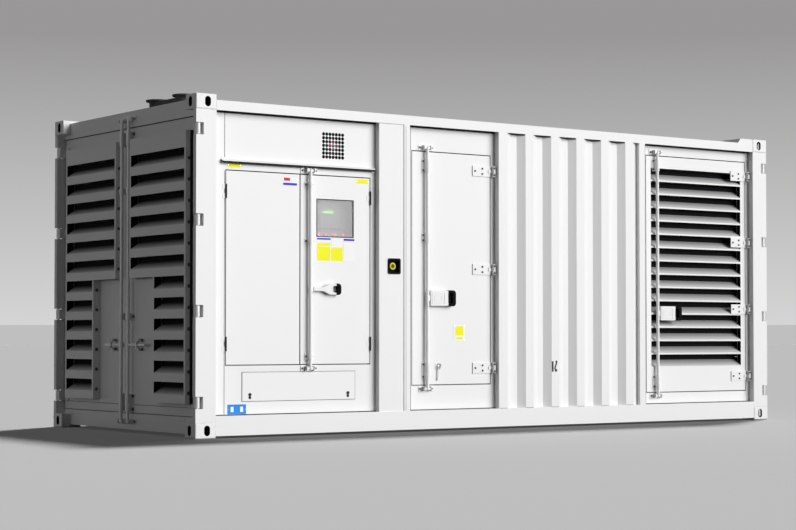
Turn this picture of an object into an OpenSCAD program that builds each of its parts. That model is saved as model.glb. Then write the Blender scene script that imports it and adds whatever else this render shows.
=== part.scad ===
// Containerized diesel generator: a 20 ft steel container housing with a
// louvred double door at each end, and a control bay, a service door, a
// corrugated wall and a louvred door along the front side.
// X runs along the length, the front side faces -Y, and Z = 0 is the ground.
// Bay positions are measured from the left end (-X) of the container, and
// depths are measured inwards from the outer face of the corner castings.

/* [Container] */
// Overall length over the corner castings
length = 6058; // [5600:1:7200]
// Overall width over the corner castings
width = 2438; // [2200:1:2900]
// Overall height over the corner castings
height = 2591; // [2400:1:3000]

/* [Corner castings] */
// Length of a casting, along the container
casting_l = 178; // [170:1:200]
// Width of a casting, across the container
casting_w = 162; // [150:1:180]
// Height of a casting
casting_h = 118; // [110:1:130]
// Wall thickness of a casting
casting_wall = 20; // [14:1:26]
// Width of the slot in a casting's side and end
casting_slot_w = 51; // [44:1:60]
// Height of the slot in a casting's side and end
casting_slot_h = 79; // [70:1:84]
// Length of the twist-lock slot in a casting's top or bottom
twist_slot_l = 124; // [110:1:130]
// Width of the twist-lock slot
twist_slot_w = 63.5; // [50:0.5:70]
// Distance of the twist-lock slots from the container's end
twist_from_end = 101.5; // [95:0.5:110]
// Distance of the twist-lock slots from the container's side
twist_from_side = 89; // [84:0.5:96]
// Radius of a casting's outer edges
casting_edge_r = 9; // [2:1:14]

/* [Frame] */
// How far rails, posts and wall crests stand back from the castings
set_back = 3; // [0:1:8]
// Plate thickness of rails, posts and door frames
plate = 6; // [4:1:10]
// Depth of the hollow rails, inwards
rail_d = 160; // [120:1:200]
// Height of a bottom side rail
bottom_rail_h = 150; // [120:1:180]
// Height of the bottom rails above the ground
bottom_rail_z = 17; // [10:1:30]
// Height of a top side rail
top_rail_h = 75; // [60:1:100]
// Drop of a top side rail below the top of the castings
top_rail_drop = 44; // [20:1:60]
// Width of the narrow nose of a corner post, seen from the end
post_nose = 48; // [40:1:60]
// Width of the stop flange of a corner post
post_flange = 110; // [90:1:140]
// Gap between an end door and the stop behind it
stop_gap = 5; // [5:1:10]
// How far the frame laps behind the top and bottom of an end door
stop_lap = 30; // [20:1:50]
// How far an end header's face stands in front of the doors
header_proud = 10; // [5:1:16]
// Drop of an end header's top below the castings' top
header_drop = 24; // [15:1:40]
// Height of an end sill's lower edge above the ground
sill_z = 25; // [15:1:40]

/* [Floor and roof] */
// Height of a cross member
member_h = 100; // [80:1:130]
// Width of a cross member
member_w = 50; // [40:1:70]
// Number of cross members
member_n = 12; // [8:1:16]
// Height of the roof's ribs
rib_h = 20; // [12:1:24]
// Spacing of the roof's ribs
rib_pitch = 209; // [180:1:260]
// Width of a rib at its foot
rib_w = 150; // [120:1:160]
// Width of a rib's slope
rib_slope = 30; // [20:1:40]
// Distance of the roof sheet's edge from the container's side
roof_edge = 20; // [10:1:40]
// Distance of the ribs' ends from the container's side
rib_margin = 270; // [250:1:400]
// Length of a protective plate beside a top casting of the right end
corner_plate_l = 190; // [100:1:200]
// Width of a protective plate
corner_plate_w = 240; // [180:1:245]
// Height of a protective plate above the top rail
corner_plate_h = 41; // [20:1:44]
// Length of a protective plate's slope down to the roof
corner_plate_slope = 34; // [10:1:50]

/* [End doors] */
// Depth of the end doors' outer face
end_door_depth = 80; // [70:1:100]
// Thickness of an end door
end_door_t = 50; // [40:1:60]
// Gap round an end door
end_gap = 6; // [5:1:10]
// Gap between the two leaves
end_meeting_gap = 14; // [12:1:24]
// Bottom of the end doors above the ground
end_door_z = 160; // [150:1:200]
// Drop of the end doors' top below the castings' top
end_door_drop = 161; // [140:1:220]
// Width of an end door's frame members
end_frame_w = 94; // [60:1:110]
// Depth of the louvre boxes' outer face
louvre_box_depth = 18; // [10:1:30]
// Distance of a louvre box from the container's side
louvre_box_side = 190; // [170:1:230]
// Distance of the wide part of a louvre box from the middle
louvre_box_mid = 119; // [100:1:160]
// Width of the narrow lower part of a louvre box
louvre_box_narrow = 518; // [400:1:600]
// Height of the step in a louvre box
louvre_step_z = 1227; // [1000:1:1400]
// Bottom of the louvre boxes
louvre_box_z = 255; // [240:1:320]
// Top of the louvre boxes
louvre_box_top = 2330; // [2100:1:2340]
// Height of the plain panel over the top louvre opening
louvre_box_cap = 131; // [60:1:200]
// Width of a louvre box's border
louvre_border = 22; // [15:1:40]
// Spacing of the blades in the end louvres
end_blade_pitch = 162; // [120:1:200]
// Thickness of a louvre blade
blade_t = 3; // [2:0.5:6]
// Angle at which a louvre blade rises inwards, in degrees
blade_angle = 35; // [25:1:40]
// Height of the upright lip of an end louvre's blade
end_blade_lip = 68; // [40:1:80]
// Depth of an end louvre's blade
end_blade_d = 80; // [60:1:100]
// Height of the rain stop at the back of an end louvre's blade
end_blade_back = 36; // [10:1:36]
// Thickness of an end door's skin
end_skin = 4; // [3:0.5:6]
// Distance of a lock rod from the middle of the end doors
end_rod_x = 57; // [50:1:80]
// Distance of an end lock rod's centre from the doors' face
end_rod_off = 40; // [36:1:46]
// Height of the keepers on the sill
end_keeper_z = 89; // [70:1:110]
// Drop of the keepers on the header below the castings' top
end_keeper_drop = 91; // [70:1:120]
// Height of the end door handles
end_handle_z = 700; // [500:1:1100]
// Length of an end door handle
end_handle_l = 290; // [200:1:340]
// Heights of an end rod's two lower guides above the door's bottom
end_guides_low = [80, 764]; // [40:1:1100]
// Distances of its two upper guides below the door's top
end_guides_high = [502, 86]; // [60:1:900]
// Heights of the four guides themselves, from the lowest up
end_guides_h = [138, 55, 45, 108]; // [40:1:160]

/* [End door hinges] */
// Height of a hinge pocket in a corner post
pocket_h = 92; // [80:1:110]
// Depth of a hinge pocket, along the container
pocket_d = 68; // [60:1:76]
// Hinge pin radius
pin_r = 9; // [7:0.5:11]
// Distance of the hinge pin from the end face
pin_a = 30; // [26:1:36]
// Distance of the hinge pin from the side face
pin_b = 26; // [24:1:30]
// Height of the lowest hinge
hinge_low = 269; // [240:1:320]
// Height of the highest hinge below the castings' top
hinge_drop = 266; // [230:1:320]
// Play between a hinge eye and its pin
pin_play = 0.5; // [0.3:0.1:1]
// Gap between a hinge eye and the pocket above and below it
eye_gap = 5; // [5:1:10]
// Thickness of a hinge blade
hinge_blade_t = 20; // [12:1:24]
// Length of a hinge blade's plate on the door
hinge_plate_l = 86; // [60:1:120]

/* [Side bays] */
// Depth of the bay panels and doors behind the posts
bay_recess = 60; // [45:1:75]
// Depth of the frames round the doors
bay_frame_d = 90; // [70:1:100]
// Thickness of the bay doors
door_t = 40; // [30:1:50]
// Width of the folded rim behind a bay door's skin
door_rim = 40; // [24:1:50]
// Gap round a bay door
door_gap = 8; // [7:0.5:10]
// Gap between the two control doors
door_meeting_gap = 10; // [9:0.5:14]
// Width of the stop behind the edge of a bay door
stop_w = 22; // [12:1:26]
// Length of the control bay
control_bay_l = 1497; // [1300:1:1700]
// Width of the post beside the control bay
control_post_w = 241; // [150:1:300]
// Width of the tube at the left of the service bay
service_tube_w = 57; // [50:1:80]
// Length of the service bay
service_bay_l = 913; // [800:1:1100]
// Width of the post at the left of the louvre bay
louvre_post_w = 71; // [50:1:120]
// Length of the louvre bay
louvre_bay_l = 1343; // [1100:1:1600]

/* [Control bay] */
// Width of the jamb at the left of the control doors
control_jamb_l = 112; // [80:1:140]
// Width of the jamb at the right of the control doors
control_jamb_r = 49; // [40:1:60]
// Bottom of the control doors
control_door_z = 551; // [450:1:700]
// Drop of the control doors' top below the castings' top
control_door_drop = 566; // [500:1:700]
// Height of the head strip over the control doors
control_head_h = 74; // [50:1:110]
// Width of the left control door
control_left_w = 658; // [500:1:800]
// How far the drip rail reaches past the control doors' frame on the left
drip_past_l = 40; // [10:1:80]
// How far the drip rail reaches past it on the right
drip_past_r = 30; // [10:1:40]
// Reach of the drip rail in front of the panels
drip_reach = 30; // [20:1:50]
// Height of the drip rail's flange on the panel
drip_flange = 16; // [10:1:30]
// Number of holes along each side of the sounder's grid
vent_holes = 7; // [3:1:9]
// Spacing of the holes
vent_pitch = 30; // [24:1:40]
// Radius of each hole
vent_r = 11; // [8:0.5:12]
// Distance of the grid from the right end of the vent panel
vent_from_right = 357; // [200:1:600]
// Height of the middle of the grid above the drip rail
vent_z = 160; // [120:1:220]
// Radius of the sounder behind the holes
sounder_r = 60; // [40:1:80]
// Depth of the sounder
sounder_h = 40; // [30:1:60]
// Width of the window
window_w = 346; // [250:1:400]
// Height of the window
window_h = 294; // [200:1:400]
// Distance of the window from the right edge of its door
window_from_right = 156; // [120:1:250]
// Drop of the window below the top of its door
window_drop = 183; // [120:1:300]
// How far the pane laps behind the door's skin
window_lap = 15; // [10:1:24]
// Thickness of the pane
window_t = 5; // [3:1:8]
// Width of the controller behind the window
controller_w = 240; // [160:1:300]
// Height of the controller
controller_h = 160; // [100:1:240]
// Depth of the controller
controller_d = 25; // [15:1:40]
// How far the instrument board laps behind the doorway's frame
board_lap = 30; // [20:1:40]
// Width of the access cover
cover_w = 1034; // [800:1:1100]
// Height of the access cover
cover_h = 219; // [150:1:260]
// Height of the access cover above the bottom rail
cover_z = 105; // [60:1:130]
// Thickness of the access cover
cover_t = 4; // [3:1:8]
// How far the access cover laps over its opening
cover_lap = 25; // [15:1:40]
// Distance of a cover lock from the cover's end
cover_lock_x = 67; // [40:1:120]
// Distance of a cover lock from the cover's lower edge
cover_lock_z = 50; // [30:1:100]
// Radius of a cover lock
cover_lock_r = 12; // [8:1:20]
// How far the lower panel's top stays below the control doors
lower_panel_drop = 38; // [30:1:80]
// Height of a control door's hinges
butt_h = 110; // [80:1:140]
// Radius of a control door hinge's knuckle
butt_r = 7; // [6:0.5:9]
// Thickness of a control door hinge's leaf
butt_t = 2.5; // [2:0.5:4]
// Length of a control door hinge's leaf
butt_l = 30; // [20:1:40]
// Radius of a control door hinge's pin
butt_pin_r = 3; // [2.5:0.5:4]
// Distance of a control door hinge from the door's top or bottom
butt_end = 102; // [60:1:160]

/* [Emergency stop] */
// Width of the emergency stop's housing
estop_w = 124; // [100:1:140]
// Height of the housing
estop_h = 126; // [100:1:140]
// Height of the housing's middle above the ground
estop_z = 1328; // [900:1:1600]
// Distance of the housing's middle from the middle of its post
estop_x = 24; // [-40:1:40]
// Depth of the recess that holds the button
estop_recess = 34; // [25:1:60]
// Width of the housing's rim round its recess
estop_rim = 14; // [8:1:20]
// Radius of the ring round the button
estop_ring_r = 30; // [24:1:36]
// Radius of the button
estop_button_r = 15; // [12:1:20]

/* [Service and louvre bays] */
// Width of the jamb at the left of the service and louvre doors
bay_jamb_l = 65; // [55:1:80]
// Width of the jamb at the right of the service and louvre doors
bay_jamb_r = 49; // [45:1:60]
// Height of the service door above the bottom rail
service_sill_h = 208; // [150:1:260]
// Drop of the service door below the top rail
service_head_h = 202; // [150:1:260]
// Height of the louvre door above the bottom rail
louvre_sill_h = 107; // [80:1:160]
// Drop of the louvre door below the top rail
louvre_head_h = 98; // [70:1:160]
// Width of the louvre door's side members
louvre_stile = 56; // [40:1:90]
// Height of the louvre door's top member
louvre_top_bar = 106; // [60:1:140]
// Height of the louvre door's bottom member
louvre_bottom_bar = 213; // [100:1:260]
// Spacing of the side louvre's blades
side_blade_pitch = 122; // [90:1:160]
// Height of the upright lip of a side louvre's blade
side_blade_lip = 14; // [8:1:30]
// Depth of a side louvre's blade
side_blade_d = 84; // [60:1:88]
// Height of the rain stop at the back of a side louvre's blade
side_blade_back = 44; // [10:1:44]

/* [Corrugated walls] */
// Spacing of the corrugations
wall_pitch = 282; // [240:1:320]
// Width of a crest
crest_w = 84; // [60:1:100]
// Width of the slope between crest and valley
slope_w = 68; // [40:1:80]
// Depth of the corrugations
wall_depth = 36; // [20:1:50]
// Sheet thickness of walls and roof
sheet = 3; // [2:0.5:4]

/* [Side door hinges and locks] */
// Length of a strap hinge's plate
strap_l = 185; // [150:1:220]
// Height of a strap hinge's plate
strap_h = 88; // [60:1:100]
// Thickness of a strap hinge's plate
strap_t = 8; // [6:1:12]
// Radius of a side hinge's pin
side_pin_r = 7; // [5:0.5:9]
// Radius of a side hinge's knuckle
knuckle_r = 16; // [13:1:18]
// Gap between a turning knuckle and the frame behind it
knuckle_gap = 5; // [5:0.5:8]
// Distance of a side hinge's pin from the door's edge
side_pin_x = 24; // [22:1:28]
// Distance of an outer strap hinge from the door's top or bottom
strap_end = 86; // [60:1:140]
// Radius of a lock rod
rod_r = 14; // [10:1:17]
// Distance of a lock rod's centre from the door's face
rod_off = 26; // [24:1:32]
// Width of a cam, across the rod
cam_w = 48; // [40:1:60]
// Height of a cam
cam_h = 18; // [14:1:26]
// Gap between a cam and the keeper's ears
cam_gap = 7; // [5:1:12]
// Width of a keeper's plate
keeper_w = 150; // [120:1:180]
// Height of a keeper's plate
keeper_h = 44; // [36:1:60]
// Distance of a keeper's middle from the edge of its doorway
keeper_off = 26; // [24:1:40]
// Distance of the control doors' rod from the meeting edge
control_rod = 76; // [50:1:120]
// Distance of the service door's rod from the door's left edge
service_rod = 134; // [90:1:180]
// Distance of the louvre door's rod from the door's left edge
louvre_rod = 111; // [90:1:160]
// Height of the control doors' handle
control_handle_z = 1136; // [900:1:1400]
// Height of the service door's handle
service_handle_z = 1078; // [900:1:1400]
// Height of the louvre door's handle
louvre_handle_z = 973; // [800:1:1400]
// Height of the wide handles' cover
cover_handle_h = 125; // [90:1:140]
// Length of a handle from its lug to its grip's end
handle_l = 250; // [200:1:280]
// Thickness of a handle's grip
grip_t = 24; // [16:1:30]
// Thickness of the bars of a handle's grip
grip_bar = 16; // [10:1:20]
// Length of a handle's grip
grip_l = 100; // [80:1:120]
// Radius of a grip's corners
grip_r = 26; // [18:1:34]
// Length of a handle's straight arm
arm_l = 92; // [60:1:120]
// Height of the control doors' lever
lever_h = 30; // [20:1:60]
// Height of its grip
lever_grip_h = 84; // [60:1:110]
// Width of a rod guide's foot on each side of the rod
guide_foot = 18; // [12:1:30]
// Places of the guides on the control doors' rod, as parts of the door's height
control_guides = [0.04, 0.65, 0.95]; // [0.03:0.01:0.97]
// Heights of those guides
control_guides_h = [48, 40, 40]; // [30:1:60]
// Places of the guides on the service door's rod
service_guides = [0.06, 0.63, 0.94]; // [0.05:0.01:0.95]
// Heights of those guides
service_guides_h = [135, 76, 110]; // [40:1:140]
// Places of the guides on the louvre door's rod
louvre_guides = [0.043, 0.962]; // [0.04:0.001:0.965]
// Heights of those guides
louvre_guides_h = [120, 110]; // [40:1:130]

/* [Exhaust outlets] */
// Distance of the outlets from the left end
outlet_x = 455; // [300:1:800]
// Spacing of the two outlets
outlet_pitch = 446; // [380:1:700]
// Radius of an outlet pipe
outlet_r = 72; // [50:1:100]
// Radius of the flange on an outlet
outlet_flange_r = 100; // [90:1:140]
// Height of the outlets above the castings
outlet_h = 116; // [80:1:200]
// Wall thickness of an outlet pipe
outlet_wall = 5; // [3:1:8]
// Thickness of an outlet's flange
outlet_flange_t = 12; // [8:1:20]
// Width of the foot plate round an outlet pipe
outlet_foot = 18; // [12:1:26]
// How far an outlet pipe reaches below the roof
outlet_below = 60; // [30:1:100]
// Width of the box between the outlets
outlet_box_w = 120; // [80:1:140]
// Drop of the box's top below the outlets' top
outlet_box_drop = 22; // [16:1:40]

/* [Hidden] */
$fn = 48;

left = -length / 2;
front = -width / 2;
white = [0.93, 0.93, 0.92];
zinc = [0.7, 0.71, 0.72];
dark = [0.16, 0.16, 0.17];
black = [0.05, 0.05, 0.05];
eps = 0.5;
seat = 0.3;

bottom_rail_top = bottom_rail_z + bottom_rail_h;
top_rail_top = height - top_rail_drop;
top_rail_z = top_rail_top - top_rail_h;
bay_depth = set_back + bay_recess;
bay_back = bay_depth + bay_frame_d;

control_start = casting_l;
control_end = control_start + control_bay_l;
service_tube = control_end + control_post_w + seat;
service_start = service_tube + service_tube_w;
service_end = service_start + service_bay_l;
louvre_end = length - casting_l;
louvre_start = louvre_end - louvre_bay_l;
louvre_post = louvre_start - louvre_post_w;
wall_top = top_rail_z;

door_stop_depth = end_door_depth + end_door_t + stop_gap;
end_door_top = height - end_door_drop;
hinge_n = 4;
hinge_z = [for (i = [0 : hinge_n - 1])
    hinge_low + i * (height - hinge_drop - hinge_low) / (hinge_n - 1) - pocket_h / 2];

// ---- Helpers ----------------------------------------------------------

// Box between two opposite corners
module block(low, high) {
    translate(low) cube(high - low);
}

// Box on the front side: from x0 to x1 along the side, depth d0 to d1, z0 to z1
module bay_block(x0, x1, d0, d1, z0, z1) {
    block([left + x0, front + d0, z0], [left + x1, front + d1, z1]);
}

// Box on the left end: depth a0 to a1, b0 to b1 from the front side, z0 to z1
module end_block(a0, a1, b0, b1, z0, z1) {
    block([left + a0, front + b0, z0], [left + a1, front + b1, z1]);
}

// Copies a front piece to the rear side
module front_and_rear() {
    children();
    mirror([0, 1, 0]) children();
}

// Copies a left-end piece to the right end
module both_ends() {
    children();
    mirror([1, 0, 0]) children();
}

// Slot with round ends, standing along Y in its own plane
module slot(w, l) {
    square([w, l - w], center = true);
    for (s = [-1, 1]) translate([0, s * (l - w) / 2]) circle(d = w);
}

// Flat outline with rounded corners
module rounded_square(w, h, r) {
    translate([r, 0]) square([w - 2 * r, h]);
    translate([0, r]) square([w, h - 2 * r]);
    for (x = [r, w - r], y = [r, h - r]) translate([x, y]) circle(r);
}

// ---- Frame ------------------------------------------------------------

// One corner casting with its low outer corner at the origin
module casting() {
    difference() {
        intersection() {
            linear_extrude(casting_h) rounded_square(casting_l, casting_w, casting_edge_r);
            translate([0, casting_w, 0]) rotate([90, 0, 0]) linear_extrude(casting_w)
                rounded_square(casting_l, casting_h, casting_edge_r);
            rotate([90, 0, 90]) linear_extrude(casting_l)
                rounded_square(casting_w, casting_h, casting_edge_r);
        }
        block([casting_wall, casting_wall, casting_wall],
            [casting_l - casting_wall, casting_w - casting_wall, casting_h - casting_wall]);
        translate([twist_from_end, casting_wall + eps, casting_h / 2]) rotate([90, 0, 0])
            linear_extrude(casting_wall + 2 * eps) slot(casting_slot_w, casting_slot_h);
        translate([-eps, twist_from_side, casting_h / 2]) rotate([90, 0, 90])
            linear_extrude(casting_wall + 2 * eps) slot(casting_slot_w, casting_slot_h);
        translate([twist_from_end, twist_from_side, -eps]) rotate([0, 0, 90])
            linear_extrude(casting_wall + 2 * eps) slot(twist_slot_w, twist_slot_l);
    }
}

module corner_castings() {
    color(white) both_ends() front_and_rear() translate([left, front, 0]) {
        casting();
        translate([0, 0, height]) mirror([0, 0, 1]) casting();
    }
}

// Outline of a corner post: a narrow nose in front of the door, a stop
// flange behind it and the full width of the casting on the side
module post_outline(t) {
    polygon([
        [set_back + t, set_back + t], [casting_l - t, set_back + t],
        [casting_l - t, post_flange - t], [door_stop_depth + t, post_flange - t],
        [door_stop_depth + t, post_nose - t], [set_back + t, post_nose - t]
    ]);
}

module corner_post() {
    post_h = height - 2 * casting_h;
    difference() {
        union() {
            translate([0, 0, casting_h]) linear_extrude(post_h) difference() {
                post_outline(0);
                post_outline(plate);
            }
            for (z = hinge_z) block([set_back, set_back, z - plate],
                [pocket_d + plate, post_nose, z + pocket_h + plate]);
        }
        for (z = hinge_z) block([-eps, -eps, z], [pocket_d, post_nose + eps, z + pocket_h]);
    }
    for (z = hinge_z) translate([pin_a, pin_b, z]) cylinder(r = pin_r, h = pocket_h);
}

module corner_posts() {
    color(white) both_ends() front_and_rear() translate([left, front, 0]) corner_post();
}

// Hollow rail along the side between two castings
module side_rail(z, h) {
    difference() {
        bay_block(casting_l, length - casting_l, set_back, rail_d, z, z + h);
        bay_block(casting_l - eps, length - casting_l + eps, set_back + plate, rail_d - plate,
            z + plate, z + h - plate);
    }
}

module bottom_side_rails() {
    color(white) front_and_rear() side_rail(bottom_rail_z, bottom_rail_h);
}

module top_side_rails() {
    color(white) front_and_rear() side_rail(top_rail_z, top_rail_h);
}

module end_header() {
    face = end_door_depth - header_proud;
    end_block(face, casting_l, casting_w, width - casting_w, height - casting_h, height - header_drop);
    end_block(face, door_stop_depth, post_nose, width - post_nose,
        end_door_top + end_gap, height - casting_h);
    end_block(door_stop_depth, casting_l, post_flange, width - post_flange,
        end_door_top - stop_lap, height - casting_h);
}

module end_headers() {
    color(white) both_ends() end_header();
}

module end_sill() {
    end_block(end_door_depth, casting_l, casting_w, width - casting_w, sill_z, casting_h);
    end_block(end_door_depth, door_stop_depth, post_nose, width - post_nose,
        casting_h, end_door_z - end_gap);
    end_block(door_stop_depth, casting_l, post_flange, width - post_flange,
        casting_h, end_door_z + stop_lap);
}

module end_sills() {
    color(white) both_ends() end_sill();
}

module floor_plate() {
    color([0.35, 0.36, 0.37])
        block([left + casting_l, front + rail_d, bottom_rail_top - plate],
            [-left - casting_l, -front - rail_d, bottom_rail_top]);
}

// Channels across the base, welded to the bottom rails under the floor
module cross_members() {
    pitch = (length - 2 * casting_l) / member_n;
    z1 = bottom_rail_top - plate;
    w = member_w / 2;
    color(dark) for (i = [0 : member_n - 1]) translate([left + casting_l + (i + 0.5) * pitch, 0, 0])
        difference() {
            block([-w, front + rail_d, z1 - member_h], [w, -front - rail_d, z1]);
            block([-w + plate, front + rail_d - eps, z1 - member_h + plate],
                [w + eps, -front - rail_d + eps, z1 - plate]);
        }
}

// ---- Roof -------------------------------------------------------------

rib_n = floor((length - 2 * casting_l - rib_w) / rib_pitch);
rib_start = (length - (rib_n - 1) * rib_pitch - rib_w) / 2;
rib_outline = [[0, 0], [rib_slope, rib_h], [rib_w - rib_slope, rib_h], [rib_w, 0]];
rib_top = top_rail_top + sheet + rib_h;

function rib_points(z) = [for (i = [0 : rib_n - 1], p = rib_outline)
    [rib_start + i * rib_pitch + p[0], z + p[1]]];
function backwards(a) = [for (i = [len(a) - 1 : -1 : 0]) a[i]];

// Ribs across the roof, pressed up with a slope at each end: the space between
// height low and the ribbed face whose flats are at height flat
module ribs(low, flat) {
    reach = width / 2 - rib_margin;
    intersection() {
        translate([left, reach, top_rail_top]) rotate([90, 0, 0]) linear_extrude(2 * reach)
            polygon(concat([[casting_l, low], [casting_l, flat]], rib_points(flat),
                [[length - casting_l, flat], [length - casting_l, low]]));
        translate([left, 0, top_rail_top]) rotate([90, 0, 90]) linear_extrude(length)
            polygon([[-reach, low], [-reach, flat], [rib_slope - reach, flat + rib_h],
                [reach - rib_slope, flat + rib_h], [reach, flat], [reach, low]]);
    }
}

module roof_sheet() {
    color(white) difference() {
        union() {
            block([left + casting_l, front + roof_edge, top_rail_top],
                [-left - casting_l, -front - roof_edge, top_rail_top + sheet]);
            ribs(0, sheet);
        }
        ribs(-eps, 0);
        for (s = [-1, 1]) translate([left + outlet_x, s * outlet_pitch / 2, top_rail_top - eps])
            cylinder(r = outlet_r + seat, h = rib_h + sheet + 2 * eps);
    }
}

// Folded plates that guard the roof beside the right end's top castings
module roof_corner_plates() {
    l = corner_plate_l;
    h = corner_plate_h;
    in_h = h - plate;
    edge = roof_edge - set_back - seat;
    color(white) front_and_rear()
        translate([-left - casting_l - l, front + set_back, top_rail_top]) difference() {
            translate([0, corner_plate_w, 0]) rotate([90, 0, 0]) linear_extrude(corner_plate_w)
                polygon([[0, 0], [corner_plate_slope, h], [l, h], [l, 0]]);
            translate([plate, corner_plate_w + eps, 0]) rotate([90, 0, 0])
                linear_extrude(corner_plate_w + eps - plate)
                polygon([[0, -eps], [corner_plate_slope, in_h], [l, in_h], [l, -eps]]);
            block([-eps, edge, -eps], [l + eps, corner_plate_w + eps, sheet]);
        }
}

// Two flanged exhaust stubs joined by a low box on the roof
module exhaust_outlets() {
    top = height + outlet_h;
    below = top_rail_top - outlet_below;
    color(dark) difference() {
        union() {
            block([left + outlet_x - outlet_box_w / 2, -outlet_pitch / 2, rib_top],
                [left + outlet_x + outlet_box_w / 2, outlet_pitch / 2, top - outlet_box_drop]);
            for (s = [-1, 1]) translate([left + outlet_x, s * outlet_pitch / 2, 0]) {
                translate([0, 0, below]) cylinder(r = outlet_r, h = top - below);
                translate([0, 0, top - outlet_flange_t]) cylinder(r = outlet_flange_r, h = outlet_flange_t);
                translate([0, 0, rib_top]) cylinder(r = outlet_r + outlet_foot, h = plate);
            }
        }
        for (s = [-1, 1]) translate([left + outlet_x, s * outlet_pitch / 2, below - eps])
            cylinder(r = outlet_r - outlet_wall, h = top - below + 2 * eps);
    }
}

// ---- Side walls -------------------------------------------------------

module post_tube(x0, x1, depth) {
    difference() {
        bay_block(x0, x1, depth, bay_back, bottom_rail_top, top_rail_z);
        bay_block(x0 + plate, x1 - plate, depth + plate, bay_back - plate,
            bottom_rail_top - eps, top_rail_z + eps);
    }
}

post_face = set_back + plate;

module bay_posts() {
    color(white) {
        difference() {
            post_tube(control_end, control_end + control_post_w, post_face);
            at_estop(post_face - eps) linear_extrude(plate + 2 * eps)
                square([estop_w - 2 * estop_rim + 2 * seat, estop_h - 2 * estop_rim + 2 * seat],
                    center = true);
        }
        front_and_rear() {
            post_tube(service_tube, service_start, set_back);
            post_tube(louvre_post, louvre_start, set_back);
            bay_block(service_end, service_end + plate, set_back, bay_back,
                bottom_rail_top, top_rail_z);
        }
    }
}

// Corrugation outline from x0 to x1: crests at the outside, valleys inwards
function wall_line(x0, x1, d) = let (n = floor((x1 - x0 - crest_w - slope_w) / wall_pitch))
    concat(
        [for (i = [0 : n], p = [[0, 0], [crest_w, 0], [crest_w + slope_w, wall_depth],
            [wall_pitch - slope_w, wall_depth]])
            if (i < n || p[0] < wall_pitch - slope_w) [x0 + i * wall_pitch + p[0], d + p[1]]],
        [[x1, d + wall_depth]]);

module corrugated_wall(x0, x1) {
    outline = concat(wall_line(x0, x1, set_back), backwards(wall_line(x0, x1, set_back + sheet)));
    translate([left, front, bottom_rail_top]) linear_extrude(top_rail_z - bottom_rail_top)
        polygon(outline);
}

module corrugated_walls() {
    color(white) {
        front_and_rear() corrugated_wall(service_end + plate, louvre_post);
        mirror([0, 1, 0]) corrugated_wall(control_start, service_tube);
    }
}

// Frame filling a bay from x0 to x1 round a doorway, with a stop behind the door
module door_frame(x0, x1, open_x0, open_x1, open_z0, open_z1) {
    stop_depth = bay_depth + door_t + door_gap;
    difference() {
        bay_block(x0, x1, bay_depth, bay_back, bottom_rail_top, top_rail_z);
        bay_block(open_x0, open_x1, bay_depth - eps, stop_depth, open_z0, open_z1);
        bay_block(open_x0 + stop_w, open_x1 - stop_w, stop_depth - eps, bay_back + eps,
            open_z0 + stop_w, open_z1 - stop_w);
    }
}

// ---- Control bay ------------------------------------------------------

control_door_top = height - control_door_drop;
control_x0 = control_start + control_jamb_l;
control_x1 = control_end - control_jamb_r;
control_right_x0 = control_x0 + door_gap + control_left_w + door_meeting_gap;
head_top = control_door_top + door_gap + control_head_h;
lower_top = control_door_z - lower_panel_drop;

module control_frame() {
    color(white) difference() {
        door_frame(control_start, control_end, control_x0, control_x1,
            control_door_z - door_gap, control_door_top + door_gap);
        bay_block(control_x0, control_x1, bay_depth - eps, bay_back + eps, head_top, top_rail_z + eps);
        bay_block(control_x0, control_x1, bay_depth - eps, bay_back + eps,
            bottom_rail_top - eps, lower_top);
    }
}

module vent_panel() {
    z0 = head_top + seat;
    color(white) difference() {
        bay_block(control_x0, control_x1, bay_depth, bay_depth + sheet, z0, top_rail_z);
        for (i = [0 : vent_holes - 1], j = [0 : vent_holes - 1])
            translate([left + control_x1 - vent_from_right + (i - (vent_holes - 1) / 2) * vent_pitch,
                front + bay_depth + sheet + eps, z0 + vent_z + (j - (vent_holes - 1) / 2) * vent_pitch])
                rotate([90, 0, 0]) cylinder(r = vent_r, h = sheet + 2 * eps, $fn = 24);
    }
}

// Strip that throws rain clear of the control doors: a flange on the panel, a
// slope outwards and a drip edge
module drip_rail() {
    x0 = control_x0 - drip_past_l;
    t = sheet;
    r = drip_reach;
    color(white) translate([left + x0, front + bay_depth, head_top]) rotate([90, 0, 90])
        linear_extrude(control_x1 + drip_past_r - x0)
        polygon([[0, 0], [0, drip_flange], [-t, drip_flange], [-t, 2 * t], [-r, -2 * t],
            [-r, -4 * t], [t - r, -4 * t], [t - r, -3 * t], [-t, t / 2], [-t, 0]]);
}

module sounder() {
    x = left + control_x1 - vent_from_right;
    z = head_top + seat + vent_z;
    bracket = sounder_r * 4 / 3;
    color("red") translate([x, front + bay_depth + sheet, z]) rotate([-90, 0, 0]) {
        cylinder(r = sounder_r, h = sounder_h);
        translate([-bracket, -plate, 0]) cube([2 * bracket, 2 * plate, plate]);
    }
}

module lower_panel() {
    x0 = control_x0;
    x1 = control_x1;
    cover_x = (x0 + x1) / 2 - cover_w / 2;
    color(white) difference() {
        bay_block(x0, x1, bay_depth, bay_depth + sheet, bottom_rail_top, lower_top - seat);
        bay_block(cover_x + cover_lap, cover_x + cover_w - cover_lap, bay_depth - eps,
            bay_depth + sheet + eps, bottom_rail_top + cover_z + cover_lap,
            bottom_rail_top + cover_z + cover_h - cover_lap);
    }
}

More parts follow.
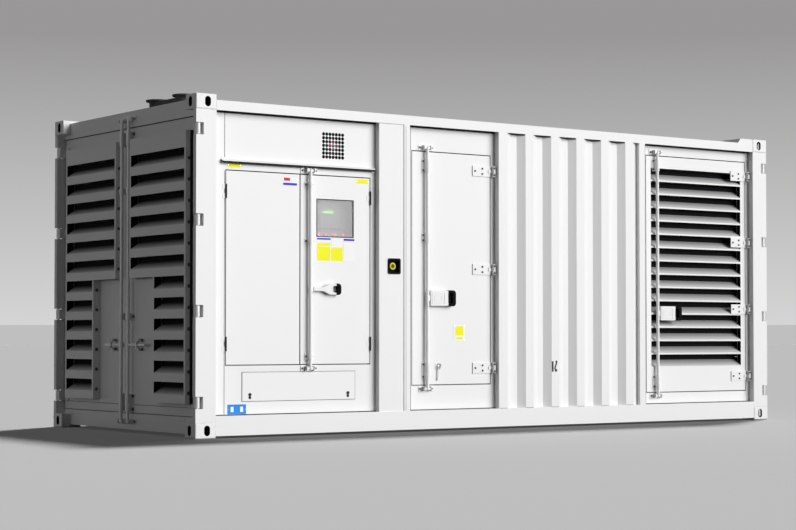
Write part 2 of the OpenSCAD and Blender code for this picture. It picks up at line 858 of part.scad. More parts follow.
module access_cover() {
    cover_x = (control_x0 + control_x1) / 2 - cover_w / 2;
    z0 = bottom_rail_top + cover_z;
    color(white) bay_block(cover_x, cover_x + cover_w, bay_depth - cover_t, bay_depth,
        z0, z0 + cover_h);
    color(black) for (x = [cover_x + cover_lock_x, cover_x + cover_w - cover_lock_x])
        translate([left + x, front + bay_depth - cover_t, z0 + cover_lock_z]) rotate([90, 0, 0])
            cylinder(r = cover_lock_r, h = plate);
}

// Instrument board behind the control doors, screwed to the back of the jambs
module control_panel() {
    x0 = control_x0 - board_lap;
    x1 = control_x1 + board_lap;
    wx = control_x1 - door_gap - window_from_right - window_w / 2;
    wz = control_door_top - window_drop - window_h / 2;
    color([0.6, 0.62, 0.63]) {
        bay_block(x0, x1, bay_back, bay_back + sheet,
            control_door_z - board_lap, control_door_top + board_lap);
        bay_block(wx - controller_w / 2, wx + controller_w / 2, bay_back - controller_d, bay_back,
            wz - controller_h / 2, wz + controller_h / 2);
    }
}

// Stands a piece on the emergency stop's place, Z inwards from the given depth
module at_estop(depth) {
    translate([left + control_end + control_post_w / 2 + estop_x, front + depth, estop_z])
        rotate([-90, 0, 0]) children();
}

// Flanged plastic cup let into the post, with the ringed button inside it
module emergency_stop() {
    flange_t = post_face - set_back;
    cup_w = estop_w - 2 * estop_rim;
    cup_h = estop_h - 2 * estop_rim;
    color(black) at_estop(set_back) difference() {
        union() {
            translate([-estop_w / 2, -estop_h / 2, 0]) linear_extrude(flange_t)
                rounded_square(estop_w, estop_h, estop_rim);
            translate([-cup_w / 2, -cup_h / 2, flange_t - eps])
                cube([cup_w, cup_h, estop_recess - flange_t + sheet + eps]);
        }
        translate([-cup_w / 2 + sheet, -cup_h / 2 + sheet, -eps])
            cube([cup_w - 2 * sheet, cup_h - 2 * sheet, estop_recess + eps]);
    }
    color("yellow") at_estop(set_back) translate([-estop_rim, 0, estop_recess * 0.3])
        cylinder(r = estop_ring_r, h = estop_recess * 0.7);
    color("red") at_estop(set_back) translate([-estop_rim, 0, 0])
        cylinder(r = estop_button_r, h = estop_recess * 0.3);
}

// Door panel with a folded frame behind its skin
module door_leaf(x0, x1, z0, z1) {
    bay_block(x0, x1, bay_depth, bay_depth + sheet, z0, z1);
    difference() {
        bay_block(x0, x1, bay_depth + sheet - eps, bay_depth + door_t, z0, z1);
        bay_block(x0 + door_rim, x1 - door_rim, bay_depth + sheet, bay_depth + door_t + eps,
            z0 + door_rim, z1 - door_rim);
    }
}

module control_door_left() {
    color(white) door_leaf(control_x0 + door_gap, control_x0 + door_gap + control_left_w,
        control_door_z, control_door_top);
}

module control_door_right() {
    wx1 = control_x1 - door_gap - window_from_right;
    wz1 = control_door_top - window_drop;
    color(white) difference() {
        door_leaf(control_right_x0, control_x1 - door_gap, control_door_z, control_door_top);
        bay_block(wx1 - window_w, wx1, bay_depth - eps, bay_depth + sheet + eps, wz1 - window_h, wz1);
    }
}

module control_window() {
    wx1 = control_x1 - door_gap - window_from_right;
    wz1 = control_door_top - window_drop;
    color([0.5, 0.55, 0.56, 0.4]) bay_block(wx1 - window_w - window_lap, wx1 + window_lap,
        bay_depth + sheet, bay_depth + sheet + window_t,
        wz1 - window_h - window_lap, wz1 + window_lap);
}

// ---- Service and louvre bays -----------------------------------------

service_x0 = service_start + bay_jamb_l;
service_x1 = service_end - bay_jamb_r;
service_z0 = bottom_rail_top + service_sill_h;
service_z1 = top_rail_z - service_head_h;
louvre_x0 = louvre_start + bay_jamb_l;
louvre_x1 = louvre_end - bay_jamb_r;
louvre_z0 = bottom_rail_top + louvre_sill_h;
louvre_z1 = top_rail_z - louvre_head_h;

module service_frames() {
    color(white) front_and_rear() door_frame(service_start, service_end,
        service_x0 - door_gap, service_x1 + door_gap, service_z0 - door_gap, service_z1 + door_gap);
}

module louvre_frames() {
    color(white) front_and_rear() door_frame(louvre_start, louvre_end,
        louvre_x0 - door_gap, louvre_x1 + door_gap, louvre_z0 - door_gap, louvre_z1 + door_gap);
}

module service_leaf() {
    color(white) door_leaf(service_x0, service_x1, service_z0, service_z1);
}

// Section of one blade: an upright lip, a slope that rises inwards and an
// upright rain stop behind it
module blade_section(depth, lip, back) {
    climb = tan(blade_angle);
    under = lip - blade_t / cos(blade_angle);
    top = lip + depth * climb + back;
    polygon([[0, 0], [blade_t, 0], [blade_t, under + blade_t * climb], [depth, under + depth * climb],
        [depth, top], [depth - blade_t, top], [depth - blade_t, lip + (depth - blade_t) * climb], [0, lip]]);
}

// Stack of n blades that fills an opening from z0 to z1, w wide
module blades(w, z0, z1, n, depth, lip, back) {
    pitch = (z1 - z0) / n;
    for (i = [0 : n - 1]) translate([-eps, 0, z0 + i * pitch])
        rotate([90, 0, 90]) linear_extrude(w + 2 * eps) blade_section(depth, lip, back);
}

module louvre_leaf() {
    z0 = louvre_z0 + louvre_bottom_bar;
    z1 = louvre_z1 - louvre_top_bar;
    n = round((z1 - z0) / side_blade_pitch);
    color(white) {
        difference() {
            bay_block(louvre_x0, louvre_x1, bay_depth, bay_depth + door_t, louvre_z0, louvre_z1);
            bay_block(louvre_x0 + louvre_stile, louvre_x1 - louvre_stile,
                bay_depth - eps, bay_depth + door_t + eps, z0, z1);
        }
        translate([left + louvre_x0 + louvre_stile, front + bay_depth, 0])
            blades(louvre_x1 - louvre_x0 - 2 * louvre_stile, z0, z1, n, side_blade_d, side_blade_lip,
                side_blade_back);
    }
}

module service_door() { service_leaf(); }
module rear_service_door() { mirror([0, 1, 0]) service_leaf(); }
module louvre_door() { louvre_leaf(); }
module rear_louvre_door() { mirror([0, 1, 0]) louvre_leaf(); }

// Height of each strap hinge's lower edge on a door from z0 to z1
function strap_z(z0, z1, n) = [for (i = [0 : n - 1])
    z0 + strap_end + i * (z1 - z0 - 2 * strap_end - strap_h) / (n - 1)];
service_straps_z = strap_z(service_z0, service_z1, 3);
louvre_straps_z = strap_z(louvre_z0, louvre_z1, 4);
side_pin_d = bay_depth - knuckle_gap - knuckle_r;

// Stands a piece on a side hinge's pin, at height z
module at_side_pin(x1, z) {
    translate([left + x1 + side_pin_x, front + side_pin_d, z]) children();
}

// Moving half of a strap hinge on a door whose right edge is at x1
module strap(x1, z) {
    third = strap_h / 3;
    difference() {
        union() {
            bay_block(x1 - strap_l, x1, bay_depth - strap_t, bay_depth, z, z + strap_h);
            bay_block(x1 - side_pin_x, x1 + side_pin_x, side_pin_d + knuckle_r - strap_t,
                side_pin_d + knuckle_r, z + third + pin_play, z + 2 * third - pin_play);
            at_side_pin(x1, z + third + pin_play)
                cylinder(r = knuckle_r, h = third - 2 * pin_play);
        }
        at_side_pin(x1, z) cylinder(r = side_pin_r + pin_play, h = strap_h);
    }
}

// Fixed half: two knuckles on pads screwed to the jamb, and the pin
module strap_bracket(x1, z) {
    third = strap_h / 3;
    px = x1 + side_pin_x;
    for (k = [z, z + 2 * third]) {
        at_side_pin(x1, k) cylinder(r = knuckle_r, h = third);
        bay_block(px - side_pin_r, px + knuckle_r, side_pin_d, bay_depth, k, k + third);
    }
    at_side_pin(x1, z) cylinder(r = side_pin_r, h = strap_h);
}

module service_straps() {
    color(white) for (z = service_straps_z) strap(service_x1, z);
}

module louvre_straps() {
    color(white) for (z = louvre_straps_z) strap(louvre_x1, z);
}

module hinge_brackets() {
    color(white) {
        for (z = service_straps_z) strap_bracket(service_x1, z);
        for (z = louvre_straps_z) strap_bracket(louvre_x1, z);
    }
}

// Butt hinge of a control door with its pin over the seam at x; the door
// lies on the side given by dir
butt_d = bay_depth - butt_r;
butt_z = [control_door_z + butt_end, control_door_top - butt_end - butt_h];

module butt_pin(x, dir) {
    for (z = butt_z) {
        for (k = [z, z + butt_h * 2 / 3]) translate([left + x, front + butt_d, k]) {
            cylinder(r = butt_r, h = butt_h / 3);
            block([min(0, -dir * butt_l), butt_r - butt_t, 0], [max(0, -dir * butt_l), butt_r, butt_h / 3]);
        }
        translate([left + x, front + butt_d, z]) cylinder(r = butt_pin_r, h = butt_h);
    }
}

module butt_leaf(x, dir) {
    for (z = butt_z) difference() {
        translate([left + x, front + butt_d, z + butt_h / 3 + pin_play]) {
            cylinder(r = butt_r, h = butt_h / 3 - 2 * pin_play);
            block([min(0, dir * butt_l), butt_r - butt_t, 0],
                [max(0, dir * butt_l), butt_r, butt_h / 3 - 2 * pin_play]);
        }
        translate([left + x, front + butt_d, z]) cylinder(r = butt_pin_r + pin_play, h = butt_h);
    }
}

module control_hinge_pins() {
    color(black) {
        butt_pin(control_x0 + door_gap / 2, 1);
        butt_pin(control_x1 - door_gap / 2, -1);
    }
}
module control_hinges_left() { color(black) butt_leaf(control_x0 + door_gap / 2, 1); }
module control_hinges_right() { color(black) butt_leaf(control_x1 - door_gap / 2, -1); }

// ---- Lock gear --------------------------------------------------------
// Made in a door's own frame: X to the right, Y inwards from the face, Z up.

// Turns a piece of the front side onto the left end, X from the middle
module on_left_end(depth) {
    translate([left + depth, 0, 0]) rotate([0, 0, -90]) children();
}

// Rod between a low and a high keeper, with a cam in each
module rod(z0, z1, off) {
    cam_t = rod_r;
    translate([0, -off, z0 - cam_h / 2]) cylinder(r = rod_r, h = z1 - z0 + cam_h);
    for (z = [z0, z1]) block([-cam_w / 2, -off - cam_t / 2, z - cam_h / 2],
        [cam_w / 2, -off + cam_t / 2, z + cam_h / 2]);
}

// Guide bolted to the door round the rod, with its middle at height z
module rod_guide(z, h, off) {
    r = rod_r + plate;
    translate([0, 0, z - h / 2]) difference() {
        union() {
            block([-r - guide_foot, -plate, 0], [r + guide_foot, 0, h]);
            block([-r, -off, 0], [r, 0, h]);
            translate([0, -off, 0]) cylinder(r = r, h = h);
        }
        translate([0, -off, -eps]) cylinder(r = rod_r + pin_play, h = h + 2 * eps);
    }
}

// Keeper on the frame: a plate with an ear on each side of the cam
module keeper(z, off) {
    ear = cam_w / 2 + cam_gap;
    block([-keeper_w / 2, -plate, z - keeper_h / 2], [keeper_w / 2, 0, z + keeper_h / 2]);
    for (s = [-1, 1]) block([s * (ear + plate / 2) - plate / 2, -off - rod_r, z - cam_h],
        [s * (ear + plate / 2) + plate / 2, 0, z + cam_h]);
}

// Lug that carries a handle on the rod
module handle_lug(z, off) {
    block([0, -off - plate, z - keeper_h / 2], [handle_x - seat, -off + plate, z + keeper_h / 2]);
}

// Handle to the right of the rod's lug: an arm of height arm_h that widens
// into the open grip
module side_handle(z, off, arm_h, grip_h) {
    loop_x = handle_x + handle_l - grip_l;
    translate([0, -off + grip_t / 2, z]) rotate([90, 0, 0]) linear_extrude(grip_t) {
        polygon([[handle_x, -arm_h / 2], [handle_x + arm_l, -arm_h / 2], [loop_x, -grip_h / 2],
            [loop_x + grip_r, -grip_h / 2], [loop_x + grip_r, grip_h / 2], [loop_x, grip_h / 2],
            [handle_x + arm_l, arm_h / 2], [handle_x, arm_h / 2]]);
        translate([loop_x, -grip_h / 2]) difference() {
            rounded_square(grip_l, grip_h, grip_r);
            translate([grip_r - eps, grip_bar])
                rounded_square(grip_l - 2 * grip_r, grip_h - 2 * grip_bar, grip_bar);
        }
    }
}

handle_x = rod_r + grip_t / 2;
control_rod_x = control_right_x0 + control_rod;
service_rod_x = service_x0 + service_rod;
louvre_rod_x = louvre_x0 + louvre_rod;
control_keepers = [control_door_z - door_gap - keeper_off, control_door_top + door_gap + keeper_off];
service_keepers = [service_z0 - door_gap - keeper_off, service_z1 + door_gap + keeper_off];
louvre_keepers = [louvre_z0 - door_gap - keeper_off, louvre_z1 + door_gap + keeper_off];
end_keepers = [end_keeper_z, height - end_keeper_drop];

// Stands a piece on the face of a front door at x
module on_bay_door(x) {
    translate([left + x, front + bay_depth, 0]) children();
}

// Rod, guides and handle lug of a front door
module side_lock(x, keepers, z0, z1, handle_z, guides, guides_h) {
    color(zinc) on_bay_door(x) {
        rod(keepers[0], keepers[1], rod_off);
        for (i = [0 : len(guides) - 1])
            rod_guide(z0 + guides[i] * (z1 - z0), guides_h[i], rod_off);
        handle_lug(handle_z, rod_off);
    }
}

module control_lock() {
    side_lock(control_rod_x, control_keepers, control_door_z, control_door_top,
        control_handle_z, control_guides, control_guides_h);
}

module service_lock() {
    side_lock(service_rod_x, service_keepers, service_z0, service_z1,
        service_handle_z, service_guides, service_guides_h);
}

module louvre_lock() {
    side_lock(louvre_rod_x, louvre_keepers, louvre_z0, louvre_z1,
        louvre_handle_z, louvre_guides, louvre_guides_h);
}

module control_handle() {
    color(white) on_bay_door(control_rod_x)
        side_handle(control_handle_z, rod_off, lever_h, lever_grip_h);
}

module wide_handle(x, z) {
    color(white) on_bay_door(x) side_handle(z, rod_off, cover_handle_h, cover_handle_h);
}

module service_handle() { wide_handle(service_rod_x, service_handle_z); }
module louvre_handle() { wide_handle(louvre_rod_x, louvre_handle_z); }

// Keepers of the service and louvre doors' rods
module bay_keepers() {
    for (z = service_keepers) on_bay_door(service_rod_x) keeper(z, rod_off);
    for (z = louvre_keepers) on_bay_door(louvre_rod_x) keeper(z, rod_off);
}

// Keepers of the left end's two rods, on the sill and on the header
module end_rod_keepers() {
    for (s = [-1, 1]) {
        on_left_end(end_door_depth) translate([s * end_rod_x, 0, 0])
            keeper(end_keepers[0], end_rod_off);
        on_left_end(end_door_depth - header_proud) translate([s * end_rod_x, 0, 0])
            keeper(end_keepers[1], end_rod_off - header_proud);
    }
}

module lock_keepers() {
    color(zinc) {
        for (z = control_keepers) on_bay_door(control_rod_x) keeper(z, rod_off);
        bay_keepers();
        end_rod_keepers();
    }
}

// ---- End doors --------------------------------------------------------
// Made for the right-hand leaf, in front of the left end: X from the
// middle to the right, Y inwards from the castings, Z up.

leaf_x0 = end_meeting_gap / 2;
leaf_x1 = width / 2 - post_nose - end_gap;
box_x0 = louvre_box_mid;
box_x1 = width / 2 - louvre_box_side;
narrow_x0 = box_x1 - louvre_box_narrow;
open_top = louvre_box_top - louvre_box_cap;

module end_leaf() {
    t = end_door_t;
    rim = end_frame_w / 2;
    slack = 2;
    color(white) difference() {
        block([leaf_x0, 0, end_door_z], [leaf_x1, t, end_door_top]);
        block([leaf_x0 + rim, end_skin, end_door_z + end_frame_w],
            [leaf_x1 - rim, t + eps, end_door_top - rim]);
        block([box_x0 + louvre_border - slack, -eps, louvre_step_z],
            [box_x1 - louvre_border + slack, t + eps, open_top + louvre_border]);
        block([narrow_x0 + louvre_border - slack, -eps, louvre_box_z + louvre_border],
            [box_x1 - louvre_border + slack, t + eps, louvre_step_z + eps]);
    }
}

// Raised box of fixed blades, wide above the step and narrow below it
module end_louvre() {
    d = end_door_depth - louvre_box_depth;
    n_low = round((louvre_step_z - louvre_box_z) / end_blade_pitch);
    n_top = round((open_top - louvre_step_z) / end_blade_pitch);
    in_x1 = box_x1 - louvre_border;
    color(white) translate([0, -d, 0]) {
        difference() {
            union() {
                block([box_x0, 0, louvre_step_z], [box_x1, d, louvre_box_top]);
                block([narrow_x0, 0, louvre_box_z], [box_x1, d, louvre_step_z + eps]);
            }
            block([box_x0 + louvre_border, -eps, louvre_step_z + blade_t],
                [in_x1, d + eps, open_top]);
            block([narrow_x0 + louvre_border, -eps, louvre_box_z + blade_t],
                [in_x1, d + eps, louvre_step_z + blade_t + eps]);
            block([box_x0 + blade_t, blade_t, open_top + blade_t],
                [box_x1 - blade_t, d + eps, louvre_box_top - blade_t]);
        }
        translate([box_x0 + louvre_border, 0, 0])
            blades(in_x1 - box_x0 - louvre_border, louvre_step_z, open_top, n_top,
                end_blade_d, end_blade_lip, end_blade_back);
        translate([narrow_x0 + louvre_border, 0, 0])
            blades(in_x1 - narrow_x0 - louvre_border, louvre_box_z, louvre_step_z, n_low,
                end_blade_d, end_blade_lip, end_blade_back);
    }
}

// Hinge blades: an eye on the pin, round the post's nose and flat on the door
module end_hinges() {
    px = width / 2 - pin_b;
    py = pin_a - end_door_depth;
    heel = hinge_blade_t * 0.6;
    half = hinge_blade_t / 2;
    color(zinc) for (z = hinge_z) translate([0, 0, z + eye_gap])
        linear_extrude(pocket_h - 2 * eye_gap) difference() {
            union() {
                translate([px, py]) circle(r = pin_r + half);
                translate([leaf_x1 - heel, py - half]) square([px - leaf_x1 + heel, hinge_blade_t]);
                translate([leaf_x1 - heel, py - half]) square([heel, half - py]);
                translate([leaf_x1 - hinge_plate_l, -half]) square([hinge_plate_l, half]);
            }
            translate([px, py]) circle(r = pin_r + pin_play);
        }
}

// Lever with a hub on its rod, held by a catch bolted to the door
module end_handle() {
    catch_x = end_handle_l * 0.57;
    lever_t = rod_r;
    translate([0, -end_rod_off, end_handle_z - keeper_h / 2]) cylinder(r = rod_r + plate, h = keeper_h);
    block([0, -end_rod_off - lever_t / 2, end_handle_z - cam_h / 2],
        [end_handle_l, -end_rod_off + lever_t / 2, end_handle_z + cam_h / 2]);
    translate([catch_x, 0, end_handle_z]) {
        block([-keeper_h / 2, -plate, -cam_w], [keeper_h / 2, 0, cam_w]);
        block([-cam_h / 2, -end_rod_off - cam_h, -cam_h / 2 - plate - seat],
            [cam_h / 2, 0, -cam_h / 2 - seat]);
        block([-cam_h / 2, -end_rod_off - cam_h, cam_h / 2 + seat],
            [cam_h / 2, 0, cam_h / 2 + seat + plate]);
    }
}

end_guides_z = concat([for (z = end_guides_low) end_door_z + z],
    [for (z = end_guides_high) end_door_top - z]);

module end_lock() {
    color(zinc) translate([end_rod_x, 0, 0]) {
        rod(end_keepers[0], end_keepers[1], end_rod_off);
        for (i = [0 : len(end_guides_z) - 1]) rod_guide(end_guides_z[i], end_guides_h[i], end_rod_off);
        end_handle();
    }
}

module right_leaf() { on_left_end(end_door_depth) children(); }
module left_leaf() { mirror([0, 1, 0]) right_leaf() children(); }

module end_door_right() { right_leaf() end_leaf(); }
module end_louvre_right() { right_leaf() end_louvre(); }
module end_door_left() { left_leaf() end_leaf(); }
module end_louvre_left() { left_leaf() end_louvre(); }

module end_fittings() {
    end_hinges();
    end_lock();
}

module end_fittings_right() { right_leaf() end_fittings(); }
module end_fittings_left() { left_leaf() end_fittings(); }

// Copies the left end's two leaves to the right end
module far_pair() {
    mirror([1, 0, 0]) {
        right_leaf() children();
        left_leaf() children();
    }
}

module far_end_doors() { far_pair() end_leaf(); }
module far_end_louvres() { far_pair() end_louvre(); }
module far_end_fittings() {
    far_pair() end_fittings();
    color(zinc) mirror([1, 0, 0]) end_rod_keepers();
}

module rear_door_hinges() {
    mirror([0, 1, 0]) {
        service_straps();
        louvre_straps();
        hinge_brackets();
        service_handle();
        louvre_handle();
    }
}

module rear_door_locks() {
    mirror([0, 1, 0]) {
        service_lock();
        louvre_lock();
        color(zinc) bay_keepers();
    }
}

corner_castings();
corner_posts();
bottom_side_rails();
top_side_rails();
end_headers();
end_sills();
floor_plate();
cross_members();
roof_sheet();
roof_corner_plates();
exhaust_outlets();
bay_posts();
corrugated_walls();
control_frame();
vent_panel();
drip_rail();
sounder();
lower_panel();
access_cover();
control_panel();
service_frames();
louvre_frames();
emergency_stop();
lock_keepers();
hinge_brackets();
control_hinge_pins();
end_door_left();
end_louvre_left();
end_fittings_left();
end_door_right();
end_louvre_right();
end_fittings_right();
control_door_left();
control_hinges_left();
control_door_right();
control_window();
control_hinges_right();
control_lock();
control_handle();
service_door();
service_straps();
service_lock();
service_handle();
louvre_door();
louvre_straps();
louvre_lock();
louvre_handle();
far_end_doors();
far_end_louvres();
far_end_fittings();
rear_service_door();
rear_louvre_door();
rear_door_hinges();
rear_door_locks();
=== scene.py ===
import math

import bmesh
import bpy
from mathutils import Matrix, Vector


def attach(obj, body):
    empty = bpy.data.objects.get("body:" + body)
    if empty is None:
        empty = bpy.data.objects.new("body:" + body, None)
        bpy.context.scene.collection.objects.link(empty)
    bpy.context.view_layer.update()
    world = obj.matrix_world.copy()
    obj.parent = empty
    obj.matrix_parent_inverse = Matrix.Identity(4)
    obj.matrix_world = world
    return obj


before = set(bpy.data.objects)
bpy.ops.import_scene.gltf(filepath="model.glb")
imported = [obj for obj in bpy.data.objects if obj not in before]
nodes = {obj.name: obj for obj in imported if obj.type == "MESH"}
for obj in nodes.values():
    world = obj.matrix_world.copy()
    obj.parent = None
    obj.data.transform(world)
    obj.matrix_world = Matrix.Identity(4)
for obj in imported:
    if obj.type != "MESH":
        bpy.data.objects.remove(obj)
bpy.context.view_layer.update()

# ---- Viewing place -------------------------------------------------------
# The housing is seen from knee height off its louvred left end, through a long
# lens, so that the whole front side and the left end show at once.
lens_data = bpy.data.cameras.new("viewing_lens")
lens_data.sensor_width = 36
lens_data.lens = 86.94
lens_data.shift_y = 0.0209
lens_data.clip_end = 500
viewer = bpy.data.objects.new("viewer", lens_data)
viewer.location = (-10.105, -13.7755, 0.757)
viewer.rotation_euler = (math.radians(91.6652), 0, math.radians(-35.4139))
bpy.context.scene.collection.objects.link(viewer)
bpy.context.scene.camera = viewer
bpy.context.scene.view_settings.view_transform = "Standard"

# ---- Floor, backdrop and light ---------------------------------------------
# A pale grey studio floor runs on under a backdrop that darkens upwards. A wide
# soft lamp stands low to the right of the front side, a faint one off the left
# end, and one high behind the right end throws the housing's shadow on the floor.
floor_reach = 150
floor_tone = 0.35
floor_tint = 1.003
floor_glow = 0.045
floor_bounce = 0.017
floor_far = 0.52
floor_edge = 0.0064
backdrop_low = (0.66, 0.66, 0.66, 1)
backdrop_high = (0.32, 0.313, 0.313, 1)
backdrop_top = 0.155
fill_light = 0.07


def feed(node, *first, **named):
    """Gives a node's inputs values or links, in their order and by name.

    A node stands for its first output, and None leaves an input as it is."""
    pairs = [(node.inputs[i], value) for i, value in enumerate(first) if value is not None]
    pairs += [(node.inputs[name.replace("_", " ")], value) for name, value in named.items()]
    for socket, value in pairs:
        if isinstance(value, bpy.types.Node):
            value = value.outputs[0]
        if isinstance(value, bpy.types.NodeSocket):
            node.id_data.links.new(value, socket)
        else:
            socket.default_value = value
    return node


def add(tree, kind, settings=None, *first, **named):
    """New node of a kind, with its properties set and its inputs fed."""
    made = tree.nodes.new(kind)
    for key, value in (settings or {}).items():
        setattr(made, key, value)
    return feed(made, *first, **named)


def reckon(tree, operation, *values):
    return add(tree, "ShaderNodeMath", {"operation": operation}, *values)


def blend(tree, factor, a, b):
    """Colour between a and b."""
    mix = add(tree, "ShaderNodeMix", {"data_type": "RGBA"}, Factor=factor, A=a, B=b)
    return mix.outputs["Result"]


def seen_ray(tree):
    """1 for what the camera sees, straight, mirrored or through glass."""
    path = add(tree, "ShaderNodeLightPath").outputs
    direct = reckon(tree, "MAXIMUM", path["Is Camera Ray"], path["Is Glossy Ray"])
    return reckon(tree, "MAXIMUM", direct, path["Is Transmission Ray"])


def grey(tone, tint=1.0):
    return (tone, tone, tone * tint, 1)


floor_mesh = bpy.data.meshes.new("floor")
floor_mesh.from_pydata([(x * floor_reach, y * floor_reach, 0)
                        for x, y in ((-1, -1), (1, -1), (1, 1), (-1, 1))], [], [(0, 1, 2, 3)])
floor = bpy.data.objects.new("floor", floor_mesh)
bpy.context.scene.collection.objects.link(floor)
floor_finish = bpy.data.materials.new("studio_floor")
floor_finish.use_nodes = True
tree = floor_finish.node_tree
tree.nodes.clear()
lit_floor = add(tree, "ShaderNodeAddShader", None,
                add(tree, "ShaderNodeBsdfDiffuse", Color=grey(floor_tone, floor_tint)),
                add(tree, "ShaderNodeEmission", Strength=floor_glow))
bounced = add(tree, "ShaderNodeBsdfDiffuse", Color=grey(floor_bounce))
either = add(tree, "ShaderNodeMixShader", None, seen_ray(tree), bounced, lit_floor)
add(tree, "ShaderNodeOutputMaterial", None, either)
floor_mesh.materials.append(floor_finish)

world = bpy.data.worlds.new("studio")
bpy.context.scene.world = world
world.use_nodes = True
tree = world.node_tree
tree.nodes.clear()
direction = add(tree, "ShaderNodeTexCoord").outputs["Generated"]
up = add(tree, "ShaderNodeSeparateXYZ", None, direction).outputs["Z"]
climb = add(tree, "ShaderNodeMapRange", Value=up, From_Min=floor_edge, From_Max=backdrop_top)
wall = blend(tree, climb, backdrop_low, backdrop_high)
studio = blend(tree, reckon(tree, "LESS_THAN", up, floor_edge), wall, grey(floor_far, floor_tint))
backdrop = add(tree, "ShaderNodeBackground", Color=studio)
fill = add(tree, "ShaderNodeBackground", Color=grey(1), Strength=fill_light)
either = add(tree, "ShaderNodeMixShader", None, seen_ray(tree), fill, backdrop)
add(tree, "ShaderNodeOutputWorld", None, either)


def soft_lamp(name, bearing, height, energy, spread, on_floor=False):
    """Far lamp at a bearing (degrees, right of the front's middle) and height.

    It lights either the floor alone or everything but the floor."""
    lamp_data = bpy.data.lights.new(name, "SUN")
    lamp_data.energy = energy
    lamp_data.angle = math.radians(spread)
    lamp = bpy.data.objects.new(name, lamp_data)
    b, h = math.radians(bearing), math.radians(height)
    towards = Vector((math.sin(b) * math.cos(h), -math.cos(b) * math.cos(h), math.sin(h)))
    lamp.rotation_euler = towards.to_track_quat("Z", "Y").to_euler()
    bpy.context.scene.collection.objects.link(lamp)
    lit = bpy.data.collections.new(name + "_reach")
    lit.objects.link(floor)
    lit.collection_objects[0].light_linking.link_state = "INCLUDE" if on_floor else "EXCLUDE"
    lamp.light_linking.receiver_collection = lit


soft_lamp("key", bearing=32, height=15.5, energy=3.88, spread=50)
soft_lamp("end_lamp", bearing=-103, height=2, energy=0.34, spread=34)
soft_lamp("floor_lamp", bearing=119, height=61, energy=4.55, spread=9, on_floor=True)

# ---- Painted steel shell -----------------------------------------------------
# Posts, rails, castings, walls, roof and doors are welded mild steel under one
# coat of white container paint: a satin skin with a faint orange peel, slightly
# uneven from panel to panel, with road dust near the floor.
paint_colour = (0.86, 0.86, 0.857)
paint_gloss = 0.42
paint_run = {"uneven": 0.012, "stretch": (1, 1, 0.25)}
dust_colour = (0.55, 0.52, 0.47, 1)
dust_height = 0.35
gloss_drift, relief_strength = 0.06, 0.35


def coat(name, colour, roughness, uneven=0.04, patch=1.4, peel=420.0, peel_depth=0.00012,
         metal=0.0, stretch=(1, 1, 1), dust=0.0, sheen=0.5):
    """Finish whose tone and gloss drift in patches, over a fine relief."""
    finish = bpy.data.materials.new(name)
    finish.use_nodes = True
    tree = finish.node_tree
    place = add(tree, "ShaderNodeTexCoord").outputs["Object"]
    run = add(tree, "ShaderNodeMapping", Vector=place, Scale=stretch)
    cloud = add(tree, "ShaderNodeTexNoise", Vector=run, Scale=patch, Detail=4)
    coloured = blend(tree, cloud, (*[c * (1 - uneven) for c in colour], 1),
                     (*[min(1, c * (1 + uneven)) for c in colour], 1))
    if dust:
        height = add(tree, "ShaderNodeSeparateXYZ", None, place).outputs["Z"]
        low = add(tree, "ShaderNodeMapRange", Value=height, From_Max=dust_height, To_Min=dust,
                  To_Max=0.0)
        coloured = blend(tree, low, coloured, dust_colour)
    gloss = add(tree, "ShaderNodeMapRange", Value=cloud, To_Min=roughness - gloss_drift,
                To_Max=roughness + gloss_drift)
    skin = add(tree, "ShaderNodeTexNoise", Vector=place, Scale=peel, Detail=1)
    relief = add(tree, "ShaderNodeBump", Strength=relief_strength, Distance=peel_depth,
                 Height=skin)
    feed(tree.nodes["Principled BSDF"], Metallic=metal, Specular_IOR_Level=sheen,
         Base_Color=coloured, Roughness=gloss, Normal=relief)
    return finish


def finish_nodes(finish, *names):
    for name in names:
        nodes[name].data.materials.clear()
        nodes[name].data.materials.append(finish)


def finish_faces(finish, names, test):
    """Gives the finish to the faces whose middle and normal pass the test."""
    for name in names:
        mesh = nodes[name].data
        mesh.materials.append(finish)
        index = len(mesh.materials) - 1
        for face in mesh.polygons:
            if test(face.center, face.normal):
                face.material_index = index


white_paint = coat("white_container_paint", paint_colour, paint_gloss, **paint_run, dust=0.03,
                   sheen=0.4)
finish_nodes(white_paint, *nodes)

# The castings are hollow; the faces inside them and in their slots are painted
# near-black as shade.
half_l, half_w, tall = 3.029, 1.219, 2.591
casting = Vector((0.178, 0.162, 0.118))
casting_skin = 0.0045
casting_inner_shade = coat("casting_inner_painted_shade", (0.010, 0.010, 0.0095), 0.85, uneven=0.3, patch=14,
                  peel=190, peel_depth=0.0004, sheen=0.05)


def inside_casting(middle, normal):
    from_corner = (half_l - abs(middle.x), half_w - abs(middle.y),
                   min(middle.z, tall - middle.z))
    return all(casting_skin < c < s - casting_skin for c, s in zip(from_corner, casting))


finish_faces(casting_inner_shade, ["corner_castings"], inside_casting)

# ---- Lock gear ------------------------------------------------------------
# Rods, cams, keepers, guides and the end doors' hinge blades are forged and
# drawn steel, dipped in zinc: bright grey with the patchy spangle of the bath.
zinc = coat("zinc_dipped_steel", (0.70, 0.703, 0.71), 0.42, uneven=0.10, patch=22, peel=150,
            peel_depth=0.0003, metal=0.18)
finish_nodes(zinc, *[n for n in nodes if "fittings" in n
                     or n.endswith(("_lock", "_locks", "keepers"))])
# The side doors' rods are drawn tube with a thin bright plating in place of the bath.
plated = coat("bright_plated_tube", (0.90, 0.90, 0.905), 0.34, uneven=0.03, patch=22, peel=150)
finish_nodes(plated, "control_lock", "service_lock", "louvre_lock")
